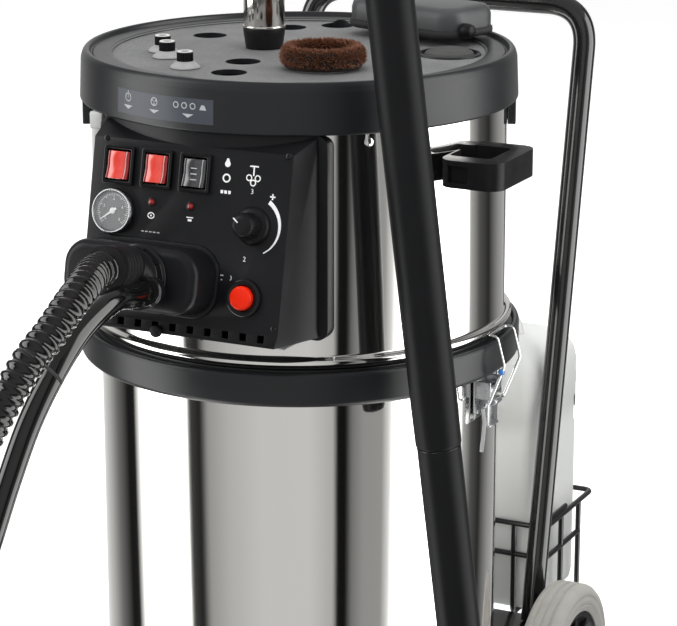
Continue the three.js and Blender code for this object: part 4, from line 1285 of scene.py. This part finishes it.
def dome(outline_box, radius, rows):
    """A box with a rounded outline whose rows step in towards the top; a row is (height, inset)."""
    x0, x1, y0, y1 = outline_box
    vertices = []
    count = 0
    for z, inset in rows:
        outline = rounded_outline(x0 + inset, x1 - inset, y0 + inset, y1 - inset, max(2, radius - inset), 12)
        count = len(outline)
        vertices.extend(Vector((px, py, z)) for px, py in outline)
    faces = [tuple(range(count - 1, -1, -1))]
    for i in range(len(rows) - 1):
        for k in range(count):
            m = (k + 1) % count
            faces.append((i * count + k, i * count + m, (i + 1) * count + m, (i + 1) * count + k))
    faces.append(tuple((len(rows) - 1) * count + k for k in range(count)))
    return vertices, faces


def quarter(low, high, radius, steps=8):
    """Rows of a box whose upper edge is rounded."""
    rows = [(low, 0)]
    for i in range(steps + 1):
        angle = i / steps * math.pi / 2
        rows.append((high - radius + radius * math.sin(angle), radius * (1 - math.cos(angle))))
    return rows


def add_connector():
    rim = dome((-110, 36, -79, -10), 26, quarter(0.1, 3.2, 2.2))
    build("connector_flange", rim, "panel", "head", matrix=FACE, angle=45)
    box = dome((-108, 33, -75, -14), 24, quarter(3.2, 41, 9))
    build("connector_shell", box, "panel", "head", ("connector_box",), matrix=FACE, angle=45)

    depth = 41
    place = face_at(-26.5, -43.6)
    flange = lathe(softened([
        (0, depth + 0.2), (31, depth + 0.2), (31, depth + 3), (28.4, depth + 4), (27.4, depth + 12.6),
        (24, depth + 13.4), (0, depth + 13.4),
    ], 1.0), 72)
    notches = [
        block(26.6, 28.6, -2.4, 2.4, depth + 4, depth + 12.4, Matrix.Rotation(i / 10 * math.tau, 4, "Z"))
        for i in range(10)
    ]
    build("plug_ring", merged(flange, *notches), "black_gloss", "head", ("hose_plug",),
          matrix=place, edge=0.0)
    hub = []
    for t in range(9):
        share = t / 8
        grow = share * share * (3 - 2 * share)
        hub.append((depth + 12 + 15 * share, 26 - 7.5 * grow, -26.5 + 1.5 * grow, -43.6 + 10.6 * grow))
    vertices = []
    for w, radius, cx, cv in hub:
        for k in range(40):
            angle = k / 40 * math.tau
            vertices.append(Vector((cx + radius * math.cos(angle), cv + radius * math.sin(angle), w)))
    faces = [tuple(range(39, -1, -1)), tuple(8 * 40 + k for k in range(40))]
    for i in range(8):
        for k in range(40):
            m = (k + 1) % 40
            faces.append((i * 40 + k, i * 40 + m, (i + 1) * 40 + m, (i + 1) * 40 + k))
    build("plug_neck", (vertices, faces), "black_satin", "head", matrix=FACE, angle=60)
    cuff = [(0, depth + 22), (18.5, depth + 22), (19.4, depth + 25)]
    for i in range(5):
        w = depth + 28 + i * 5.4
        cuff += [(19.4, w), (18.2, w + 0.9), (18.2, w + 2.1), (19.4, w + 3)]
    cuff += [(19.4, 104), (0, 104)]
    build("suction_cuff", lathe(softened(cuff, 0.5, 2), 64), "black_satin", "head",
          matrix=face_at(-25, -33), angle=40, cutters=(block(-70, 20, -400, -330.8, 560, 700),))
    steam = lathe(softened([
        (0, depth + 10), (14, depth + 10), (14, depth + 18), (12.6, depth + 20), (12.6, 72), (0, 72),
    ], 1.0), 48)
    build("steam_cuff", steam, "black_gloss", "head", matrix=face_at(-4, -54), angle=40,
          cutters=(block(-40, 40, -400, -302, 540, 640),))


# ---------------------------------------------------------------- carrying handles and brackets

def add_side_handle(side):
    name = "left" if side < 0 else "right"
    # The two handles stand opposite each other across the drum.
    turn = Matrix.Identity(4) if side > 0 else Matrix.Rotation(math.pi, 4, "Z")
    rim = rounded_outline(196, 258, -105, -11, 15, 8)
    opening = rounded_outline(198, 240, -84, -30, 6, 8)
    vertices, faces = frame_of(rim, opening, 682, 708)
    pocket_vertices, pocket_faces = block(206, 226, -108, -100, 687, 703)
    drum = lathe([(0, 650), (HEAD_R + 0.4, 650), (HEAD_R + 0.4, 740), (0, 740)], ROUND)
    pocket = ([turn @ v for v in pocket_vertices], pocket_faces)
    build(f"carry_handle_{name}", ([turn @ v for v in vertices], faces), "black_satin", "head",
          (f"side_handle_{name}",), edge=3.2, segments=4, cutters=(drum, pocket))
    spread = [math.radians(20 + i * 1.5) for i in range(9)]
    arch = [((HEAD_R + 0.4) * math.cos(a), (HEAD_R + 0.4) * math.sin(a)) for a in spread]
    arch += [(213.5 * math.cos(a), 213.5 * math.sin(a)) for a in reversed(spread)]
    build(f"tray_bracket_{name}", prism(arch, 709, 736.2, turn), "anthracite", "head",
          edge=1.2)


# ---------------------------------------------------------------- accessory tray

TRAY_HOLES = ((-127, 49, 17), (-77, 130, 17), (-38, 163, 17), (-24, -72, 17), (-8, -130, 17), (138, 52, 26))


def wall_radius(z):
    """The tray's outer wall leans in a little towards its top."""
    return 215.6 - (z - 738) * 0.0447


def add_tray():
    profile = softened([
        (206, 736.5), (214.8, 736.5), (215.6, 738), (213.9, 776), (212.3, 781.5),
        (210.0, 784.4), (207.5, 784.8), (205.6, 783.6), (204.4, 780.2), (203.2, 779.2), (201.6, 780.8),
        (186, 780.8), (184, 779.9), (182.6, 777.4), (181, 776.8), (0, 777), (0, 772), (201, 772),
        (206, 768), (206, 736.5),
    ], 1.1, 3)
    outer = lathe(profile, ROUND)
    cutters = []
    for x, y, radius in TRAY_HOLES:
        cutters.append(lathe([(0, 760), (radius, 760), (radius + 0.1, 790), (0, 790)], 48,
                             Matrix.Translation((x, y, 0))))
    tray = build("tray_shell", outer, "anthracite", "head", ("top_tray",), cutters=cutters)
    # Upward faces inside the rim take the lighter deck colour: partly real dust, partly painted light
    # falling on the top.
    tray.data.materials.append(MAT["deck"])
    middle = MACHINE @ Vector((0, 0, 0))
    for polygon in tray.data.polygons:
        across = math.hypot(polygon.center.x - middle.x, polygon.center.y - middle.y)
        if polygon.normal.z > 0.5 and across < 0.1845 and polygon.center.z > 0.774:
            polygon.material_index = 1

    # A dark rough scouring disc fills the big recess at the right.
    inlay = lathe(softened([(0, 765), (25.6, 765), (25.6, 775), (23, 780), (15, 783.2), (0, 784.2)], 1.4),
                  48,
                  Matrix.Translation((138, 52, 0)))
    rim = lathe(softened([(26.2, 776.6), (31.5, 776.6), (31, 778.6), (28, 779.4), (26.2, 778.6),
                          (26.2, 776.6)], 0.7),
                64, Matrix.Translation((138, 52, 0)))
    build("recess_inlay", inlay, "rough_pad", "head")
    build("recess_rim", rim, "anthracite", "head")
    # The cups under the holes take the near-black finish: painted shade deep in the holes.
    lids = []
    for x, y, radius in TRAY_HOLES[:5]:
        lids.append(lathe([(0, 738), (radius + 2, 738), (radius + 2, 771.8), (radius + 0.4, 771.8),
                           (radius + 0.4, 739), (0, 739)], 40, Matrix.Translation((x, y, 0))))
    build("tray_cups", merged(*lids), "painted_hole_shade", "head")

    low = []
    high = []
    for i in range(19):
        x = -91 + 112 * i / 18
        for z, row in ((744, low), (767, high)):
            reach = wall_radius(z) + 0.35
            row.append(Vector((x, -math.sqrt(reach * reach - x * x), z)))
    label_shape = plate_of(low, high, 0.6)
    build("tray_label", label_shape, "label", "head")

    signs = []
    for x in (-76, -43, -5):
        signs.append(on_wall([(x - 6, 752.5), (x + 6, 752.5), (x, 749.0)]))
    for x, y in ((-76, 760), (-43, 760)):
        signs.append(on_wall(crescent(x, y, 3.6, 0, 359, 0.9, 0.9, 24)))
    signs.append(on_wall([(-76.5, 763.8), (-75.5, 763.8), (-75.5, 766.2), (-76.5, 766.2)]))
    signs.append(on_wall([(-76.4, 759.6), (-75.6, 759.6), (-75.6, 762.6), (-76.4, 762.6)]))
    for i in range(3):
        angle = i / 3 * math.tau + 0.5
        tip = (-43 + 2.9 * math.cos(angle), 760 + 2.9 * math.sin(angle))
        side = (0.8 * math.sin(angle), -0.8 * math.cos(angle))
        signs.append(on_wall([(-43, 760), (tip[0] + side[0], tip[1] + side[1]),
                              (tip[0] - side[0], tip[1] - side[1])]))
    for i in range(3):
        signs.append(on_wall(crescent(-18 + i * 9, 760, 2.6, 0, 359, 0.9, 0.9, 20)))
    signs.append(on_wall([(7, 757), (14, 757), (12, 761.5), (9, 761.5)]))
    build("tray_signs", merged(*signs), "grey_print", "head")

    tab = block(-136, -122, -174, -166, 720, 736.4)
    build("tray_tab", tab, "grey_trim", "head", edge=1.6)
    hook = [Vector((144, -146, 736)), Vector((145, -147.5, 729)), Vector((146.5, -149, 725.5)),
            Vector((148.5, -150, 727.5))]
    screw = lathe(softened([(0, 0), (4.2, 0), (3.6, 1.8), (0, 2.4)], 0.6), 24,
                  Matrix.Translation((145.2, -144.9, 727)) @ Matrix.Rotation(math.radians(-44.9), 4, "Z")
                  @ Matrix.Rotation(math.pi / 2, 4, "Y"))
    build("tray_hook", merged(sweep(smooth_line(hook, 1), 1.3, 10), screw), "bright_wire", "head")


def plate_of(low, high, thick):
    """A thin curved plate between two rows of points, thickened towards the drum axis."""
    count = len(low)
    rows = [low, high]
    for row in (high, low):
        inner = []
        for p in row:
            flat = Vector((p.x, p.y, 0))
            inner.append(p - flat.normalized() * thick)
        rows.append(inner)
    vertices = [p for row in rows for p in row]
    faces = []
    for r in range(4):
        a = r * count
        b = (r + 1) % 4 * count
        faces.extend((a + k, a + k + 1, b + k + 1, b + k) for k in range(count - 1))
    faces.append((0, count, 2 * count, 3 * count))
    faces.append((count - 1, 4 * count - 1, 3 * count - 1, 2 * count - 1))
    return vertices, faces


def on_wall(outline):
    """A small flat sign wrapped on the tray's wall; its outline is (x, z)."""
    near, far = [], []
    for x, z in outline:
        for lift, row in ((0.6, near), (0.2, far)):
            reach = wall_radius(z) + lift
            row.append(Vector((x, -math.sqrt(reach * reach - x * x), z)))
    count = len(outline)
    faces = [tuple(range(count)), tuple(range(2 * count - 1, count - 1, -1))]
    for i in range(count):
        j = (i + 1) % count
        faces.append((i, j, count + j, count + i))
    return near + far, faces


def bristles(rows, seed, count, spread):
    """Short stiff hairs that stand out of a surface; rows gives a point and a direction for a draw."""
    dice = random.Random(seed)
    vertices = []
    faces = []
    for _ in range(count):
        root, out = rows(dice)
        lean = Vector([dice.uniform(-spread, spread) for _ in range(3)])
        tip = root + (out + lean).normalized() * dice.uniform(3.0, 5.4)
        side = out.orthogonal().normalized()
        across = out.cross(side)
        start = len(vertices)
        for k in range(3):
            angle = k / 3 * math.tau
            vertices.append(root + (side * math.cos(angle) + across * math.sin(angle)) * 0.48)
        bend = root.lerp(tip, 0.55) + Vector([dice.uniform(-0.9, 0.9) for _ in range(3)])
        for k in range(3):
            angle = k / 3 * math.tau
            vertices.append(bend + (side * math.cos(angle) + across * math.sin(angle)) * 0.40)
        vertices.append(tip)
        for k in range(3):
            m = (k + 1) % 3
            faces.append((start + k, start + m, start + 3 + m, start + 3 + k))
            faces.append((start + 3 + k, start + 3 + m, start + 6))
        faces.append((start + 2, start + 1, start))
    return vertices, faces


def add_accessories():
    deck = DECK_Z + 0.3
    place = Matrix.Translation((-43, 8, 0))
    tube = lathe(softened([
        (20.5, deck + 22), (20.5, deck + 178), (19.6, deck + 178), (19.6, deck + 22), (20.5, deck + 22),
    ], 0.4), 96, place)
    build("steel_pipe", tube, "chrome", "steel_tube", ("steel_tube",))
    cuff = lathe(softened([
        (16.4, deck), (18.4, deck), (20.8, deck + 17), (20.8, deck + 20), (20.3, deck + 20.6),
        (18.8, deck + 20.6),
        (16.4, deck),
    ], 0.8), 96, place)
    build("pipe_cuff", cuff, "black_satin", "steel_tube")
    collar = lathe(softened([
        (20.5, deck + 20.8), (21.2, deck + 20.8), (21.3, deck + 22.2), (20.5, deck + 23.2),
        (20.5, deck + 20.8),
    ], 0.5), 96, place)
    build("pipe_collar", collar, "bead", "steel_tube")

    centre = Vector((60, -68, 0))
    core = lathe(softened([
        (29, deck + 1), (37, deck + 1), (39, deck + 8), (38, deck + 17), (35, deck + 20.5), (31, deck + 19),
        (28.5, deck + 10), (29, deck + 1),
    ], 2), 64, Matrix.Translation(centre))
    build("brush_core", core, "bristle_core", "brush_ring", ("brush_ring",))

    def ring_hair(dice):
        around = dice.uniform(0, math.tau)
        up = dice.uniform(-0.6, math.pi + 0.5)
        radial = Vector((math.cos(around), math.sin(around), 0))
        out = radial * math.cos(up) + Vector((0, 0, math.sin(up)))
        root = centre + radial * 33.5 + Vector((0, 0, deck + 11)) + radial * 4.4 * math.cos(up)
        return root + Vector((0, 0, 8.5 * math.sin(up))), out

    build("brush_bristles", bristles(ring_hair, 7, 5200, 0.55), "bristle", "brush_ring", angle=80)

    for i, (x, y) in enumerate(((-122, -56), (-101, -84), (-57, -127))):
        name = f"small_brush_{i + 1}"
        at = Matrix.Translation((x, y, 0))
        cone = lathe(softened([(0, deck), (14.6, deck), (14, deck + 1.6), (8.2, deck + 6.5),
                               (0, deck + 6.5)], 0.8),
                     40, at)
        build(f"{name}_cone", cone, "grey_cone", name, (name,))
        barrel = lathe(softened([(0, deck + 6), (7.4, deck + 6), (7.4, deck + 15), (0, deck + 15)], 0.6), 40,
                       at)
        ridges = [
            block(7.1, 7.9, -0.5, 0.5, deck + 6.6, deck + 14.4,
                  at @ Matrix.Rotation(k / 26 * math.tau, 4, "Z"))
            for k in range(26)
        ]
        build(f"{name}_collar", merged(barrel, *ridges), "black_satin", name)
        lip = lathe(softened([
            (4.6, deck + 13), (4.6, deck + 16), (7.4, deck + 16), (7.6, deck + 15), (5.4, deck + 15),
            (5.4, deck + 13),
            (4.6, deck + 13),
        ], 0.5), 40, at)
        build(f"{name}_rim", lip, "grey_trim", name)

    lie = Matrix.Translation((70, 134, TRAY_TOP + 0.3)) @ Matrix.Rotation(-0.28, 4, "Z")
    rows = [(4, 3), (5, 0.6), (9, 0), (20, 0), (25.5, 1.6), (28.8, 5), (30.2, 11)]
    pad = dome((-72, 72, -38, 38), 22, rows)
    build("pad_body", pad, "pad", "pad_tool", ("pad_tool",), matrix=lie, angle=60)
    edge = dome((-74, 74, -40, 40), 24, [(0, 3), (1.5, 0.6), (4, 0), (7, 0.4), (8.5, 2.4)])
    build("pad_edge", edge, "rubber", "pad_tool", matrix=lie, angle=60)
    end = lathe(softened([(0, 0), (7, 0), (7.5, 6), (6, 12), (0, 13)], 1.4), 32)
    build("pad_pin", end, "black_satin", "pad_tool",
          matrix=lie @ Matrix.Translation((72, -20, 9)) @ Matrix.Rotation(math.pi / 2, 4, "Y"))


# ---------------------------------------------------------------- wand

def add_wand():
    foot = Vector((259.3, -152.2, 150))
    top = Vector((176.6, -194.3, 960))
    axis = top - foot
    length = axis.length
    stand = Matrix.Translation(foot) @ axis.to_track_quat("Z", "Y").to_matrix().to_4x4()
    joint = 306
    lower = lathe(softened([
        (17.5, 0), (20.5, 0), (20.5, joint - 2), (19.4, joint), (18.6, joint), (18.6, joint + 40),
        (16.6, joint + 40),
        (16.6, 80), (17.5, 80), (17.5, 0),
    ], 0.8), 96, stand)
    lower_tube = build("wand_lower_tube", lower, "wand", "wand_lower", ("wand_lower",), angle=40)
    # Left out of reflections, like the hoses.
    lower_tube.visible_glossy = False
    upper = lathe(softened([
        (18.9, joint + 0.3), (20.6, joint + 0.3), (21.4, joint + 2.4), (21.8, joint + 40),
        (21.8, length - 3),
        (21.0, length), (18.9, length), (18.9, joint + 0.3),
    ], 0.7), 96, stand)
    build("wand_upper_tube", upper, "wand", "wand_upper", ("wand_upper",), angle=40)
    line = lathe(softened([
        (18.7, joint + 0.1), (20.75, joint + 0.1), (20.75, joint + 0.9), (18.7, joint + 0.9),
        (18.7, joint + 0.1),
    ], 0.2), 96, stand @ Matrix.Translation((0, 0, -1.0)))
    build("wand_joint_ring", line, "black_gloss", "wand_lower")


def main():
    add_camera()
    add_studio()
    add_materials()
    add_hoses()
    add_trolley()
    for side in (-1, 1):
        add_wheel(side)
        add_castor(side)
        add_latch(side)
        add_side_handle(side)
    add_basket()
    add_can()
    add_drums()
    add_insides()
    add_control_face()
    add_connector()
    add_tray()
    add_accessories()
    add_wand()


main()
